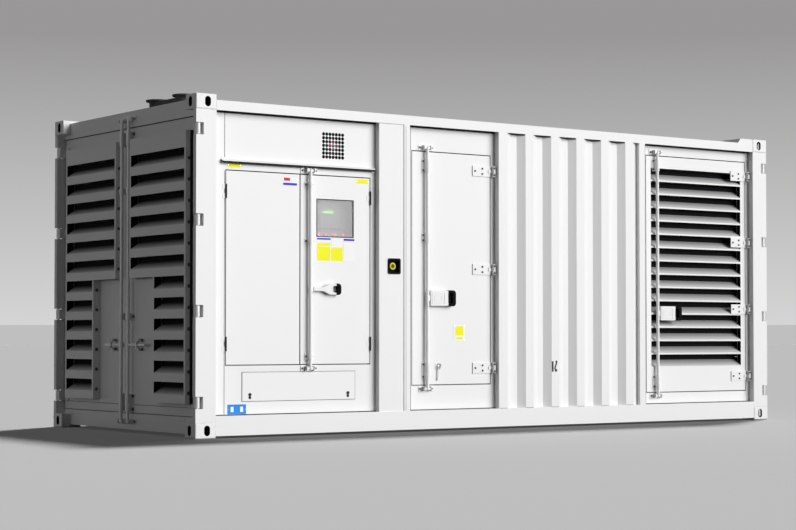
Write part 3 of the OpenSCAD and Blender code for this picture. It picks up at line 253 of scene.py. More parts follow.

# ---- Louvre blades ---------------------------------------------------------
# Each blade is folded sheet: an upright lip, a slope and a rain stop behind it.
# The lips are clean white paint; the slopes carry painted shade that deepens towards
# the inside, and the rain stops, side walls and inner faces are painted black as shade.
# Near-black finish that is painted shade in the louvres and in the vent duct.
black_shade = coat("black_painted_shade", (0.010, 0.010, 0.011), 0.95, uneven=0.4, patch=60, peel=320,
            peel_depth=0.0012, sheen=0.1)
slope_shade_colour = (0.012, 0.012, 0.012, 1)


def paint_with_shade(name, axis, clean_at, black_at, least, most):
    """White paint with painted shade that deepens along one axis, the same on both sides of the
    middle.
    """
    finish = coat(name, paint_colour, paint_gloss, **paint_run)
    tree = finish.node_tree
    skin = tree.nodes["Principled BSDF"]
    place = add(tree, "ShaderNodeTexCoord").outputs["Object"]
    along = add(tree, "ShaderNodeSeparateXYZ", None, place).outputs[axis]
    shade_ramp = add(tree, "ShaderNodeMapRange", Value=reckon(tree, "ABSOLUTE", along),
                 From_Min=clean_at, From_Max=black_at, To_Min=least, To_Max=most)
    paint = skin.inputs["Base Color"].links[0].from_socket
    feed(skin, Base_Color=blend(tree, shade_ramp, paint, slope_shade_colour))
    return finish


# The slopes are painted darker towards the inside, as shade from the blade above.
side_slope = paint_with_shade("side_louvre_painted_shade", "Y", half_w - 0.063, half_w - 0.122, 0.10, 0.62)
end_slope = paint_with_shade("end_louvre_painted_shade", "X", half_l - 0.020, half_l - 0.090, 0.0, 0.95)
side_louvre = (4.6585 - half_l, 5.7745 - half_l, 0.486, 2.30)
side_lip, side_shade_depth = 0.0645, 0.14
end_lip, end_shade_depth = 0.0195, 0.094
end_box_walls = (0.141, 0.533, 1.007)
wall_skin = 0.001


def in_side_louvre(c):
    x0, x1, z0, z1 = side_louvre
    return (x0 - wall_skin < c.x < x1 + wall_skin and z0 < c.z < z1
            and half_w - abs(c.y) > side_lip)


def in_end_louvre(c):
    return (end_box_walls[0] - wall_skin / 2 < abs(c.y) < end_box_walls[-1] + wall_skin / 2
            and half_l - abs(c.x) > end_lip)


def outward(c, n):
    """How far a face looks away from the housing's middle, along or across."""
    along_y = -n.y if c.y < 0 else n.y
    along_x = n.x if c.x > 0 else -n.x
    return along_x, along_y


def inner(out, n):
    return out < 0.2 or n.z < -0.3


def sloped(out, n):
    return 0.5 < n.z < 0.95 and out > 0.2


side_louvres = ["louvre_door", "rear_louvre_door"]
end_louvres = ["end_louvre_left", "end_louvre_right", "far_end_louvres"]
# Rain stops, louvre box side walls and inner faces are painted black as shade.
finish_faces(black_shade, side_louvres, lambda c, n: in_side_louvre(c) and (
    abs(n.x) > 0.5 or inner(outward(c, n)[1], n) or half_w - abs(c.y) > side_shade_depth))
finish_faces(side_slope, side_louvres,
             lambda c, n: in_side_louvre(c) and sloped(outward(c, n)[1], n))
finish_faces(black_shade, end_louvres, lambda c, n: (
    any(abs(abs(c.y) - wall) < wall_skin for wall in end_box_walls) if abs(n.y) > 0.5 else
    in_end_louvre(c) and (inner(outward(c, n)[0], n) or half_l - abs(c.x) > end_shade_depth)))
finish_faces(end_slope, end_louvres,
             lambda c, n: in_end_louvre(c) and sloped(outward(c, n)[0], n))

# ---- Exhaust outlets -------------------------------------------------------
# Two flanged steel stubs through the roof are in matt heat-resistant black, grey
# in patches where the paint has been warm.
exhaust_black = coat("exhaust_black", (0.05, 0.05, 0.053), 0.75, uneven=0.25, patch=9, peel=260,
                     peel_depth=0.0003, sheen=0.25)
finish_nodes(exhaust_black, "exhaust_outlets")

# ---- Underside --------------------------------------------------------------
# The steel cross members carry dark underbody paint. The floor plate welded on
# them has a dark grey floor paint, worn uneven underfoot.
underbody = coat("underbody_paint", (0.03, 0.03, 0.032), 0.7, uneven=0.2, patch=5)
finish_nodes(underbody, "cross_members")
floor_paint = coat("worn_floor_paint", (0.10, 0.102, 0.105), 0.6, uneven=0.18, patch=4)
finish_nodes(floor_paint, "floor_plate")

# ---- Door seals ------------------------------------------------------------
# Black rubber strip is pressed on round every door's edge and glued round the
# doorway it shuts into, so every joint reads as a dark line. A thicker strip lies
# A thicker strip along each end door's louvre box is painted shade in the deep corner there, and a
# thin one lies near its foot.
mm = 0.001
# Black rubber for the real seals; the same black also paints shade under rails, in corners and in
# holes.
rubber_and_shade = coat("black_rubber_and_painted_shade", (0.012, 0.012, 0.013), 0.7, uneven=0.25, patch=30, peel=500,
              peel_depth=0.0001, sheen=0.2)


def front_at(x, depth, z):
    return Vector((x * mm - half_l, depth * mm - half_w, z * mm))


def rear_at(x, depth, z):
    return Vector((x * mm - half_l, half_w - depth * mm, z * mm))


def leaf_at(end, side):
    """Places on an end leaf: end -1 left or 1 right, side 1 front or -1 rear."""
    return lambda b, depth, z: Vector((end * (half_l - depth * mm), -side * b * mm, z * mm))


def rounded(bm, edges, radius, steps):
    bmesh.ops.bevel(bm, geom=edges, offset=radius * mm, segments=steps, affect="EDGES",
                    profile=0.5)


def block(bm, place, u, depth, v, edge=0.0, steps=1):
    """Bar between two u, two depths and two v, with its edges rounded off."""
    corners = [bm.verts.new(place(a, d, c)) for a in u for d in depth for c in v]
    quads = ((0, 1, 3, 2), (4, 6, 7, 5), (0, 4, 5, 1), (2, 3, 7, 6), (0, 2, 6, 4), (1, 5, 7, 3))
    faces = [bm.faces.new([corners[i] for i in quad]) for quad in quads]
    if edge:
        rounded(bm, list({e for f in faces for e in f.edges}), edge, steps)


def ring(bm, place, outer, inner, depth, edge=0.0):
    """Flat frame between two rectangles (u0, u1, v0, v1), mitred at its corners."""
    loops = [[bm.verts.new(place(u, d, v)) for u, v in ((u0, v0), (u1, v0), (u1, v1), (u0, v1))]
             for d in depth for u0, u1, v0, v1 in (outer, inner)]
    outer_front, inner_front, outer_back, inner_back = loops
    for i in range(4):
        j = (i + 1) % 4
        for a, b in ((outer_front, inner_front), (inner_front, inner_back),
                     (inner_back, outer_back), (outer_back, outer_front)):
            bm.faces.new((a[i], a[j], b[j], b[i]))
    if edge:
        along = {e for loop in loops for v in loop for e in v.link_edges
                 if e.verts[0] in loop and e.verts[1] in loop}
        rounded(bm, list(along), edge, 2)


def ridden(name, mesh, body, crease):
    """Makes a mesh an object, smooth up to its creases, that rides on a body."""
    mesh.shade_smooth()
    mesh.set_sharp_from_angle(angle=math.radians(crease))
    made = bpy.data.objects.new(name, mesh)
    bpy.context.scene.collection.objects.link(made)
    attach(made, body)


built_crease = 35


def piece(name, bm, body, slot, *finishes):
    """Ends a hand-built mesh: faces outwards, finishes on, riding on its body."""
    bmesh.ops.recalc_face_normals(bm, faces=bm.faces)
    mesh = bpy.data.meshes.new(name)
    bm.to_mesh(mesh)
    bm.free()
    for finish in finishes:
        mesh.materials.append(finish)
    ridden(name, mesh, body, built_crease)


def inset(rect, by):
    u0, u1, v0, v1 = rect
    return (u0 + by, u1 - by, v0 + by, v1 - by)


seal_t = 2.2
gap = 8
control_way = (290, 1626, 543, 2033)
service_way = (2030.3, 2845.3, 367, 2278)
louvre_way = (4594, 5839, 266, 2382)
end_way = (7, 1165, 160, 2430)
doorway_depth, leaf_edge_depth, end_seal_depth = (68, 108), (67, 99), (84, 124)
# The first strip is painted shade along the louvre box's deep side wall.
end_strips = (((1029.2, 1037), (57, 79.8), (256, 2329), 2),
              ((10, 1120), (79, 80), (222, 225.5), 0.3))


def end_seal(bm, end, side):
    at = leaf_at(end, side)
    ring(bm, at, inset(end_way, -seal_t), end_way, end_seal_depth, 0.6)
    for strip in end_strips:
        block(bm, at, *strip)


bm = bmesh.new()
for way in (control_way, service_way, louvre_way):
    ring(bm, front_at, way, inset(way, seal_t), doorway_depth, 0.6)
for way in (service_way, louvre_way):
    ring(bm, rear_at, way, inset(way, seal_t), doorway_depth, 0.6)
    ring(bm, rear_at, inset(way, gap - seal_t), inset(way, gap), leaf_edge_depth, 0.6)
for side in (1, -1):
    end_seal(bm, 1, side)
piece("doorway_seals", bm, "container", "black_plastic", rubber_and_shade)

leaf_rects = {"control_leaf_left": (298, 956, 551, 2025),
              "control_leaf_right": (966, 1618, 551, 2025),
              "service_leaf": inset(service_way, gap), "louvre_leaf": inset(louvre_way, gap)}
for body, rect in leaf_rects.items():
    bm = bmesh.new()
    ring(bm, front_at, inset(rect, -seal_t), rect, leaf_edge_depth, 0.6)
    piece(body + "_seal", bm, body, "black_plastic", rubber_and_shade)
for body, side in (("end_leaf_right", 1), ("end_leaf_left", -1)):
    bm = bmesh.new()
    end_seal(bm, -1, side)
    piece(body + "_seal", bm, body, "black_plastic", rubber_and_shade)

# ---- Bolts and screws --------------------------------------------------------
# Hex bolts with round washers hold the keepers, guides, straps and louvre
# boxes, and nuts hold the exhaust flanges. Their steel has gone dark against
# the paint.
dark_steel = coat("dark_bolt_steel", (0.085, 0.085, 0.09), 0.5, uneven=0.25, patch=90, peel=600,
                  peel_depth=0.0001, metal=0.6)


def growing_tree(name, sizes):
    """Empty tree with named inputs, and how it ends in one mesh of one finish."""
    tree = bpy.data.node_groups.new(name, "GeometryNodeTree")
    face = tree.interface
    face.new_socket("Geometry", in_out="INPUT", socket_type="NodeSocketGeometry")
    for title, start in sizes.items():
        kind = "NodeSocketInt" if isinstance(start, int) else "NodeSocketFloat"
        face.new_socket(title, in_out="INPUT", socket_type=kind).default_value = start
    face.new_socket("Finish", in_out="INPUT", socket_type="NodeSocketMaterial")
    face.new_socket("Geometry", in_out="OUTPUT", socket_type="NodeSocketGeometry")
    given = tree.nodes.new("NodeGroupInput").outputs

    def end_in(instances):
        real = add(tree, "GeometryNodeRealizeInstances", None, instances)
        coated = add(tree, "GeometryNodeSetMaterial", Geometry=real, Material=given["Finish"])
        add(tree, "NodeGroupOutput", None, coated)
        return tree

    return tree, given, end_in


def on_spots(tree, given, part):
    """The part at every point of the mesh, turned the way that the point faces."""
    facing = add(tree, "GeometryNodeInputNamedAttribute", {"data_type": "FLOAT_VECTOR"},
                 Name="facing")
    aim = add(tree, "FunctionNodeAlignRotationToVector", {"axis": "Z"},
              Vector=facing.outputs["Attribute"])
    return add(tree, "GeometryNodeInstanceOnPoints", Points=given["Geometry"], Instance=part,
               Rotation=aim)


def fixings_tree():
    """Head with a chamfered crown on a washer, at every point of the mesh."""
    tree, given, end_in = growing_tree("fixings", {
        "Head sides": 6, "Head radius": 0.009, "Head height": 0.006, "Crown height": 0.002,
        "Crown share": 0.8, "Washer radius": 0.013, "Washer thickness": 0.002, "Seed": 7})
    head = add(tree, "GeometryNodeMeshCylinder", {"fill_type": "NGON"},
               Vertices=given["Head sides"], Radius=given["Head radius"],
               Depth=given["Head height"])
    crown = add(tree, "GeometryNodeExtrudeMesh", {"mode": "FACES"}, Mesh=head,
                Selection=head.outputs["Top"], Offset_Scale=given["Crown height"])
    pinch = add(tree, "GeometryNodeScaleElements", {"domain": "FACE"}, Geometry=crown,
                Selection=crown.outputs["Top"], Scale=given["Crown share"])
    washer = add(tree, "GeometryNodeMeshCylinder", {"fill_type": "NGON"}, Vertices=16,
                 Radius=given["Washer radius"], Depth=given["Washer thickness"])
    half_head = reckon(tree, "MULTIPLY", given["Head height"], 0.5)
    half_washer = reckon(tree, "MULTIPLY", given["Washer thickness"], 0.5)
    both = add(tree, "GeometryNodeJoinGeometry")
    for part, up in ((pinch, reckon(tree, "ADD", half_head, given["Washer thickness"])),
                     (washer, half_washer)):
        feed(both, add(tree, "GeometryNodeTransform", Geometry=part,
                       Translation=add(tree, "ShaderNodeCombineXYZ", Z=up)))
    spots = on_spots(tree, given, both)
    spin = add(tree, "FunctionNodeRandomValue", {"data_type": "FLOAT"}, Seed=given["Seed"])
    spin.inputs[3].default_value = math.tau
    turn = add(tree, "ShaderNodeCombineXYZ", Z=spin.outputs[1])
    return end_in(add(tree, "GeometryNodeRotateInstances", Instances=spots, Rotation=turn))


grown_crease = 30


def grown(name, start, tree, values, body):
    """Runs a tree on a start mesh and keeps its result as a plain mesh."""
    seed_object = bpy.data.objects.new(name + "_start", start)
    bpy.context.scene.collection.objects.link(seed_object)
    modifier = seed_object.modifiers.new("grow", "NODES")
    modifier.node_group = tree
    for item in tree.interface.items_tree:
        if item.in_out == "INPUT" and item.name in values:
            modifier[item.identifier] = values[item.name]
    evaluated = seed_object.evaluated_get(bpy.context.evaluated_depsgraph_get())
    mesh = bpy.data.meshes.new_from_object(evaluated)
    mesh.name = name
    bpy.data.objects.remove(seed_object)
    ridden(name, mesh, body, grown_crease)


def spot_mesh(name, points, ways):
    start = bpy.data.meshes.new(name + "_spots")
    start.from_pydata(points, [], [])
    facing = start.attributes.new("facing", "FLOAT_VECTOR", "POINT")
    facing.data.foreach_set("vector", [c for way in ways for c in way])
    return start


fixings = fixings_tree()
box_bolt = {"Head sides": 6, "Head radius": 0.0098, "Head height": 0.0055,
            "Crown height": 0.0015, "Crown share": 0.84, "Washer radius": 0.0135,
            "Washer thickness": 0.002}
bolt_head = {**box_bolt, "Head radius": 0.0068, "Head height": 0.005, "Washer radius": 0.0088}


def fix(name, spots, head, body, finish, seed=7):
    """Bolts or screws at (place, u, depth, v, way) spots, facing out or along u."""
    points, ways = [], []
    for place, u, depth, v, way in spots:
        here = place(u, depth, v)
        points.append(here)
        ways.append((place(u + way[0], depth + way[1], v + way[2]) - here).normalized())
    grown(name, spot_mesh(name, points, ways), fixings, {**head, "Seed": seed, "Finish": finish},
          body)


outwards, downwards = (0, -1, 0), (0, 0, -1)
strap_levels = {"service": (461, 1278.5, 2096), "louvre": (360, 973.3, 1586.7, 2200)}
strap_edges = {"service": 2837.3, "louvre": 5831}
strap_middle, strap_holes = 44, ((160, 0), (85, 22), (85, -22))
bracket_back, bracket_holes = 24, (15, 73)
strap_face, plate_face, bracket_face = 55, 57, 26
# Each rod's x, the levels of its keepers, and the level and height of each guide.
lock_rods = {"control": (1042, (517, 2059), ((610, 48), (1509.1, 40), (1951.3, 40))),
             "service": (2172.3, (341, 2304), ((488.7, 135), (1568.9, 76), (2156.3, 110))),
             "louvre": (4713, (240, 2408), ((364.3, 120), (2294.2, 110)))}
keeper_reach, guide_foot, guide_margin, low_guide = 62, 29, 17, 60


def strap_spots(place, bay):
    return [(place, strap_edges[bay] - back, strap_face, z + strap_middle + up, outwards)
            for z in strap_levels[bay] for back, up in strap_holes]


def guide_spots(place, x, guides, face):
    spots = []
    for z, height in guides:
        row = height / 2 - guide_margin
        rows = (0,) if height < low_guide else (-row, row)
        spots += [(place, x + s * guide_foot, face, z + row, outwards)
                  for s in (-1, 1) for row in rows]
    return spots


def keeper_spots(place, x, levels):
    return [(place, x + s * keeper_reach, plate_face, z, outwards)
            for z in levels for s in (-1, 1)]


def bracket_spots(place, bay):
    return [(place, strap_edges[bay] + bracket_back, bracket_face, z + up, outwards)
            for z in strap_levels[bay] for up in bracket_holes]


end_rod, end_plate_face, box_face = 57, 74, 49
end_guides = ((240, 138), (924, 55), (1928, 45), (2344, 108))
end_lever_x, end_lever_z = 222, 700
lever_bolt_x, lever_bolt_z = 12, 36
end_keeper_b, end_keepers = 119, ((74, 89), (64, 2500))
box_outer, box_inner_high, box_inner_low = 1029, 119, 511
box_low, box_high, blade_pitch = 255, 1227, 162


def end_spots(place):
    spots = guide_spots(place, end_rod, end_guides, end_plate_face)
    spots += [(place, end_lever_x + s * lever_bolt_x, end_plate_face,
               end_lever_z + t * lever_bolt_z, outwards) for s in (-1, 1) for t in (-1, 1)]
    for foot, inner_edge in ((box_low, box_inner_low), (box_high, box_inner_high)):
        for i in range(6):
            z = foot + blade_pitch * (i + 0.5)
            spots += [(place, box_outer, box_face, z, (1, 0, 0)),
                      (place, inner_edge, box_face, z, (-1, 0, 0))]
    return spots


def end_keeper_spots(end):
    front, rear = leaf_at(end, 1), leaf_at(end, -1)
    return [(place, b, depth, z, outwards)
            for place, b in ((front, end_keeper_b), (rear, end_keeper_b), (front, 0))
            for depth, z in end_keepers]


container_bolts = []
for rod_x, keepers, _ in lock_rods.values():
    container_bolts += keeper_spots(front_at, rod_x, keepers)
for bay in ("service", "louvre"):
    rod_x, keepers, guides = lock_rods[bay]
    container_bolts += keeper_spots(rear_at, rod_x, keepers)
    container_bolts += guide_spots(rear_at, rod_x, guides, plate_face)
    container_bolts += strap_spots(rear_at, bay)
    container_bolts += bracket_spots(front_at, bay) + bracket_spots(rear_at, bay)
container_bolts += end_keeper_spots(-1) + end_keeper_spots(1)
fix("container_bolts", container_bolts, bolt_head, "container", dark_steel)
for body, bay in (("control_leaf_right", "control"), ("service_leaf", "service"),
                  ("louvre_leaf", "louvre")):
    rod_x, _, guides = lock_rods[bay]
    spots = guide_spots(front_at, rod_x, guides, plate_face)
    if bay in strap_edges:
        spots += strap_spots(front_at, bay)
    fix(body + "_bolts", spots, bolt_head, body, dark_steel, seed=11)
fix("far_end_bolts", end_spots(leaf_at(1, 1)) + end_spots(leaf_at(1, -1)), box_bolt, "container",
    dark_steel)
fix("end_leaf_right_bolts", end_spots(leaf_at(-1, 1)), box_bolt, "end_leaf_right", dark_steel,
    seed=13)
fix("end_leaf_left_bolts", end_spots(leaf_at(-1, -1)), box_bolt, "end_leaf_left", dark_steel,
    seed=17)

# Eight nuts hold each exhaust flange down on its gasket, below the rim.
outlet_x, outlet_y, nut_circle, nut_z = 455, 223, 86, 2695
nuts = []
for y in (-outlet_y, outlet_y):
    for a in [math.pi / 8 + i * math.pi / 4 for i in range(8)]:
        nuts.append((lambda x, across, z: Vector((x * mm - half_l, across * mm, z * mm)),
                     outlet_x + nut_circle * math.cos(a), y + nut_circle * math.sin(a), nut_z,
                     downwards))
fix("exhaust_nuts", nuts, box_bolt, "container", exhaust_black, seed=19)

# ---- Weld beads ---------------------------------------------------------------
# Every casting, post and rail is joined by a hand-laid fillet weld under the
# paint: a row of overlapping drops about six millimetres apart.
def weld_tree():
    """Drops of uneven size along every edge of the mesh."""
    tree, given, end_in = growing_tree("weld_beads", {
        "Bead radius": 0.004, "Bead pitch": 0.006, "Unevenness": 0.25, "Seed": 3})
    run = add(tree, "GeometryNodeMeshToCurve", None, given["Geometry"])
    even = add(tree, "GeometryNodeResampleCurve", {"mode": "LENGTH"}, Curve=run,
               Length=given["Bead pitch"])
    drop = add(tree, "GeometryNodeMeshIcoSphere", Subdivisions=1, Radius=given["Bead radius"])
    aim = add(tree, "FunctionNodeAlignRotationToVector", {"axis": "X"},
              Vector=add(tree, "GeometryNodeInputTangent"))
    least = reckon(tree, "SUBTRACT", 1.0, given["Unevenness"])
    most = reckon(tree, "ADD", 1.0, given["Unevenness"])
    swell = add(tree, "FunctionNodeRandomValue", {"data_type": "FLOAT"}, None, None, least, most,
                Seed=given["Seed"])
    return end_in(add(tree, "GeometryNodeInstanceOnPoints", Points=even, Instance=drop,
                      Rotation=aim, Scale=swell.outputs[1]))


toe = 4.7
beads = [[front_at(toe, 50, z), front_at(toe, toe, z), front_at(174, toe, z)]
         for z in (118, 2473)]
for levels in ((20, 164), (2475, 2544)):
    for x, depth in ((178.5, toe), (toe, 162.5)):
        beads.append([front_at(x, depth, z) for z in levels])
beads.append([front_at(3029, 62.5, 168), front_at(190, 62.5, 168)])
points, edges = [], []
for bead in beads:
    for sx, sy in ((-1, -1), (-1, 1), (1, -1), (1, 1)):
        first = len(points)
        points += [Vector((sx * p.x, sy * p.y, p.z)) for p in bead]
        edges += [(i, i + 1) for i in range(first, len(points) - 1)]
start = bpy.data.meshes.new("weld_lines")
start.from_pydata(points, edges, [])
grown("frame_welds", start, weld_tree(),
      {"Bead radius": 0.0032, "Bead pitch": 0.0055, "Finish": white_paint}, "container")

# ---- Painted shade under rails and in corners ----------------------------------
# Faces that look down are painted black as shade, and so are beads at the head and
# foot of each bay, in the wall's valleys under the top rail and at their feet, and a
# strip under the drip rail over the control doors; thin dark lines mark sheet seams.
finish_faces(rubber_and_shade, ["top_side_rails", "bottom_side_rails", "end_sills", "end_headers"],
             lambda c, n: n.z < -0.9)
finish_faces(rubber_and_shade, ["drip_rail"], lambda c, n: n.z < -0.5)
bays = {"control": (178, 1675), "service": (1973, 2886), "louvre": (4537, 5880)}
bay_foot, bay_head = 174, 2461
drip_gap = (2022, 2110)
control_seam, service_seam = 283, 2022
post_lines = (1932, 4533)
valleys = [2892 + 282 * i for i in range(6)]
wall_end = 4465
bm = bmesh.new()
for depth, z, edge in (((50, 64), (2462, 2473), 3), ((52, 64), (166.5, 173.5), 2)):
    for place, sealed in ((front_at, bays), (rear_at, ("service", "louvre"))):
        for x0, x1 in (bays[bay] for bay in sealed):
            block(bm, place, (x0 + 1, x1 - 1), depth, z, edge, 2)
for x, levels in ((control_seam, (bay_foot, drip_gap[0])), (control_seam, (drip_gap[1], bay_head)),
                  (service_seam, (bay_foot, bay_head))):
    block(bm, front_at, (x - 2, x + 2), (61.9, 63.2), levels, 0.5)
for x in post_lines:
    block(bm, front_at, (x, x + 2.5), (2.3, 3.2), (bay_foot, bay_head), 0.4)
for x in valleys[:-1]:
    plan = ((x + 87, 5, 2470), (x + 152, 38.6, 2463), (x + 214, 38.6, 2459), (x + 279, 5, 2460))
    foot, head = ([bm.verts.new(front_at(u, d, low if bottom else 2471.8)) for u, d, low in plan]
                  for bottom in (True, False))
    bm.faces.new(foot)
    bm.faces.new(head[::-1])
    for i in range(4):
        bm.faces.new((foot[i], foot[i - 1], head[i - 1], head[i]))
for x in valleys:
    block(bm, front_at, (x + 1, min(x + 83, wall_end)), (2.2, 3.2), (167, 170), 0.4)
piece("rail_painted_shade", bm, "container", "black_plastic", rubber_and_shade)
bm = bmesh.new()
# Black strip under the drip rail, painted shade.
block(bm, front_at, (252, 1654), (34, 39), (2081, 2099), 1.2)
block(bm, front_at, (252, 1654), (39, 62), (2093.5, 2096.5), 0.6)
piece("drip_painted_shade", bm, "container", "black_plastic", rubber_and_shade)

# ---- Vent and sounder ---------------------------------------------------------
# A red warning sounder sits behind the punched grid; the holes' sides and the duct
# behind are painted black as shade, so the outer holes look black, the middle red.
def turned(bm, place, u, v, profile, sides=24):
    """Lathe-turned part about an axis through the face: (radius, depth) pairs."""
    rows = []
    for radius, depth in profile:
        if radius == 0:
            rows.append([bm.verts.new(place(u, depth, v))])
        else:
            rows.append([bm.verts.new(place(u + radius * math.cos(a), depth,
                                            v + radius * math.sin(a)))
                         for a in [math.tau * i / sides for i in range(sides)]])
    for low, high in zip(rows, rows[1:]):
        for i in range(sides):
            j = (i + 1) % sides
            quad = [low[i % len(low)], low[j % len(low)],
                    high[j % len(high)], high[i % len(high)]]
            bm.faces.new(list(dict.fromkeys(quad)))


signal_red = coat("sounder_red_plastic", (0.36, 0.006, 0.010), 0.35, uneven=0.08, patch=20,
                  peel=300, peel_depth=0.00005)
sounder_black = coat("sounder_black_plastic", (0.012, 0.012, 0.012), 0.5, uneven=0.1, sheen=0.2)
finish_nodes(sounder_black, "sounder")
vent_x, vent_z = 1269, 2267
grid_half, duct_half, duct_inner = 104, 150, 146
grid_low = front_at(vent_x - grid_half, 0, vent_z - grid_half)
grid_high = front_at(vent_x + grid_half, 0, vent_z + grid_half)
# The sides of the grid's holes are painted black as shade.
finish_faces(rubber_and_shade, ["vent_panel"], lambda c, n: (
    abs(n.y) < 0.5 and grid_low.x < c.x < grid_high.x and grid_low.z < c.z < grid_high.z))
whole, across = (-duct_half, duct_half), (-duct_inner, duct_inner)
left, right = (-duct_half, -duct_inner), (duct_inner, duct_half)
bm = bmesh.new()
for u, v, depth, edge in ((whole, whole, (109, 114), 1),
                          (left, whole, (66.5, 110), 0.8), (right, whole, (66.5, 110), 0.8),
                          (across, left, (66.5, 110), 0.8), (across, right, (66.5, 110), 0.8)):
    block(bm, front_at, (vent_x + u[0], vent_x + u[1]), depth, (vent_z + v[0], vent_z + v[1]),
          edge)
piece("vent_duct", bm, "container", "black_plastic", black_shade)


# Each hole of the grid is edged with a black ring, painted shade that widens the hole's dark.
def hole_shade_ring_tree():
    """Round black ring at every point of the mesh, facing its way."""
    tree, given, end_in = growing_tree("hole_shade_rings", {
        "Ring radius": 0.0122, "Band radius": 0.0018})
    round_path = add(tree, "GeometryNodeCurvePrimitiveCircle", Resolution=20,
                     Radius=given["Ring radius"])
    section = add(tree, "GeometryNodeCurvePrimitiveCircle", Resolution=6,
                  Radius=given["Band radius"])
    dark_ring = add(tree, "GeometryNodeCurveToMesh", Curve=round_path, Profile_Curve=section)
    return end_in(on_spots(tree, given, dark_ring))


hole_pitch, shade_ring_depth = 30, 63
holes = [front_at(vent_x + hole_pitch * i, shade_ring_depth, vent_z + hole_pitch * j)
         for i in range(-3, 4) for j in range(-3, 4)]
grown("vent_hole_shade_rings", spot_mesh("vent_hole_shade_rings", holes, [Vector(outwards)] * len(holes)),
      hole_shade_ring_tree(), {"Finish": rubber_and_shade}, "container")
bm = bmesh.new()
turned(bm, front_at, vent_x, vent_z, ((0, 65), (29, 65.1), (32, 65.4), (32, 66.2), (0, 66.2)), 32)
piece("sounder_lens", bm, "container", "red_plastic", signal_red)

# ---- Control doors' hinges, window and instruments ----------------------------
# Butt hinges are black painted steel. The window is a smoke-grey acrylic pane in
# a black channel, rubber that also paints shade along the opening's edges; behind it
# a powder-coated board carries the controller with its lit display and a row of red
# lamps in chromed collars.
black_paint = coat("black_hinge_paint", (0.012, 0.012, 0.013), 0.5, uneven=0.2, patch=25,
                   sheen=0.25)
control_hinges = ("control_hinge_pins", "control_hinges_left", "control_hinges_right")
knuckle_x = [front_at(x, 0, 0).x for x in (294, 1622)]
knuckle_r = 0.0075
finish_nodes(black_paint, *control_hinges)
finish_faces(white_paint, control_hinges,
             lambda c, n: min(abs(c.x - x) for x in knuckle_x) > knuckle_r)

window = (1116, 1462, 1548, 1842)
bm = bmesh.new()
ring(bm, front_at, inset(window, -3), inset(window, 3.5), (61.2, 65.8), 0.8)
piece("window_channel", bm, "control_leaf_right", "black_plastic", rubber_and_shade)
acrylic = bpy.data.materials.new("smoke_acrylic")
acrylic.use_nodes = True
tree = acrylic.node_tree
haze = add(tree, "ShaderNodeTexNoise", Vector=add(tree, "ShaderNodeTexCoord").outputs["Object"],
           Scale=2.6, Detail=2.0)
feed(tree.nodes["Principled BSDF"], Roughness=0.12, Alpha=0.40,
     Base_Color=blend(tree, haze, (0.42, 0.42, 0.43, 1), (0.55, 0.55, 0.56, 1)))
finish_nodes(acrylic, "control_window")

board_grey = coat("board_powder_coat", (0.60, 0.60, 0.605), 0.55, uneven=0.06, patch=6, peel=700)
finish_nodes(board_grey, "control_panel")


def lit(name, colour, glow):
    finish = coat(name, colour, 0.3, uneven=0.1, patch=40, peel=300, peel_depth=0.00004)
    feed(finish.node_tree.nodes["Principled BSDF"], Emission_Color=(*colour, 1),
         Emission_Strength=glow)
    return finish


green_glow = lit("display_green", (0.30, 0.85, 0.12), 1.6)
red_glow = lit("lamp_red", (0.95, 0.08, 0.06), 2.4)
chrome = coat("chromed_collar", (0.75, 0.75, 0.76), 0.18, uneven=0.05, patch=60, peel=300,
              peel_depth=0.00003, metal=1.0)
bm = bmesh.new()
ring(bm, front_at, (1180, 1398, 1640, 1765), (1190, 1388, 1650, 1755), (124, 128.2), 1)
for i in range(6):
    block(bm, front_at, (1192 + i * 34, 1214 + i * 34), (125, 128.2), (1622, 1634), 1.5, 2)
piece("controller_face", bm, "container", "grey_panel", board_grey)
bm = bmesh.new()
block(bm, front_at, (1215, 1314), (126.8, 128.4), (1738, 1768), 1)
piece("display_bar", bm, "container", "grey_panel", green_glow)

lamp_row, lamp_z = (1194, 1257, 1339, 1425), 1573
lens = ((0, 141), (5, 141.8), (8.5, 144.5), (9.5, 148), (9.5, 152.8), (0, 152.8))
collar = ((9.8, 149), (12.5, 148), (14, 150.5), (14, 152.9), (9.8, 152.9), (9.8, 149))
for name, profile, slot, finish in (("board_lamps", lens, "red_plastic", red_glow),
                                    ("lamp_collars", collar, "zinc_fittings", chrome)):
    bm = bmesh.new()
    for x in lamp_row:
        turned(bm, front_at, x, lamp_z, profile)
    piece(name, bm, "container", slot, finish)

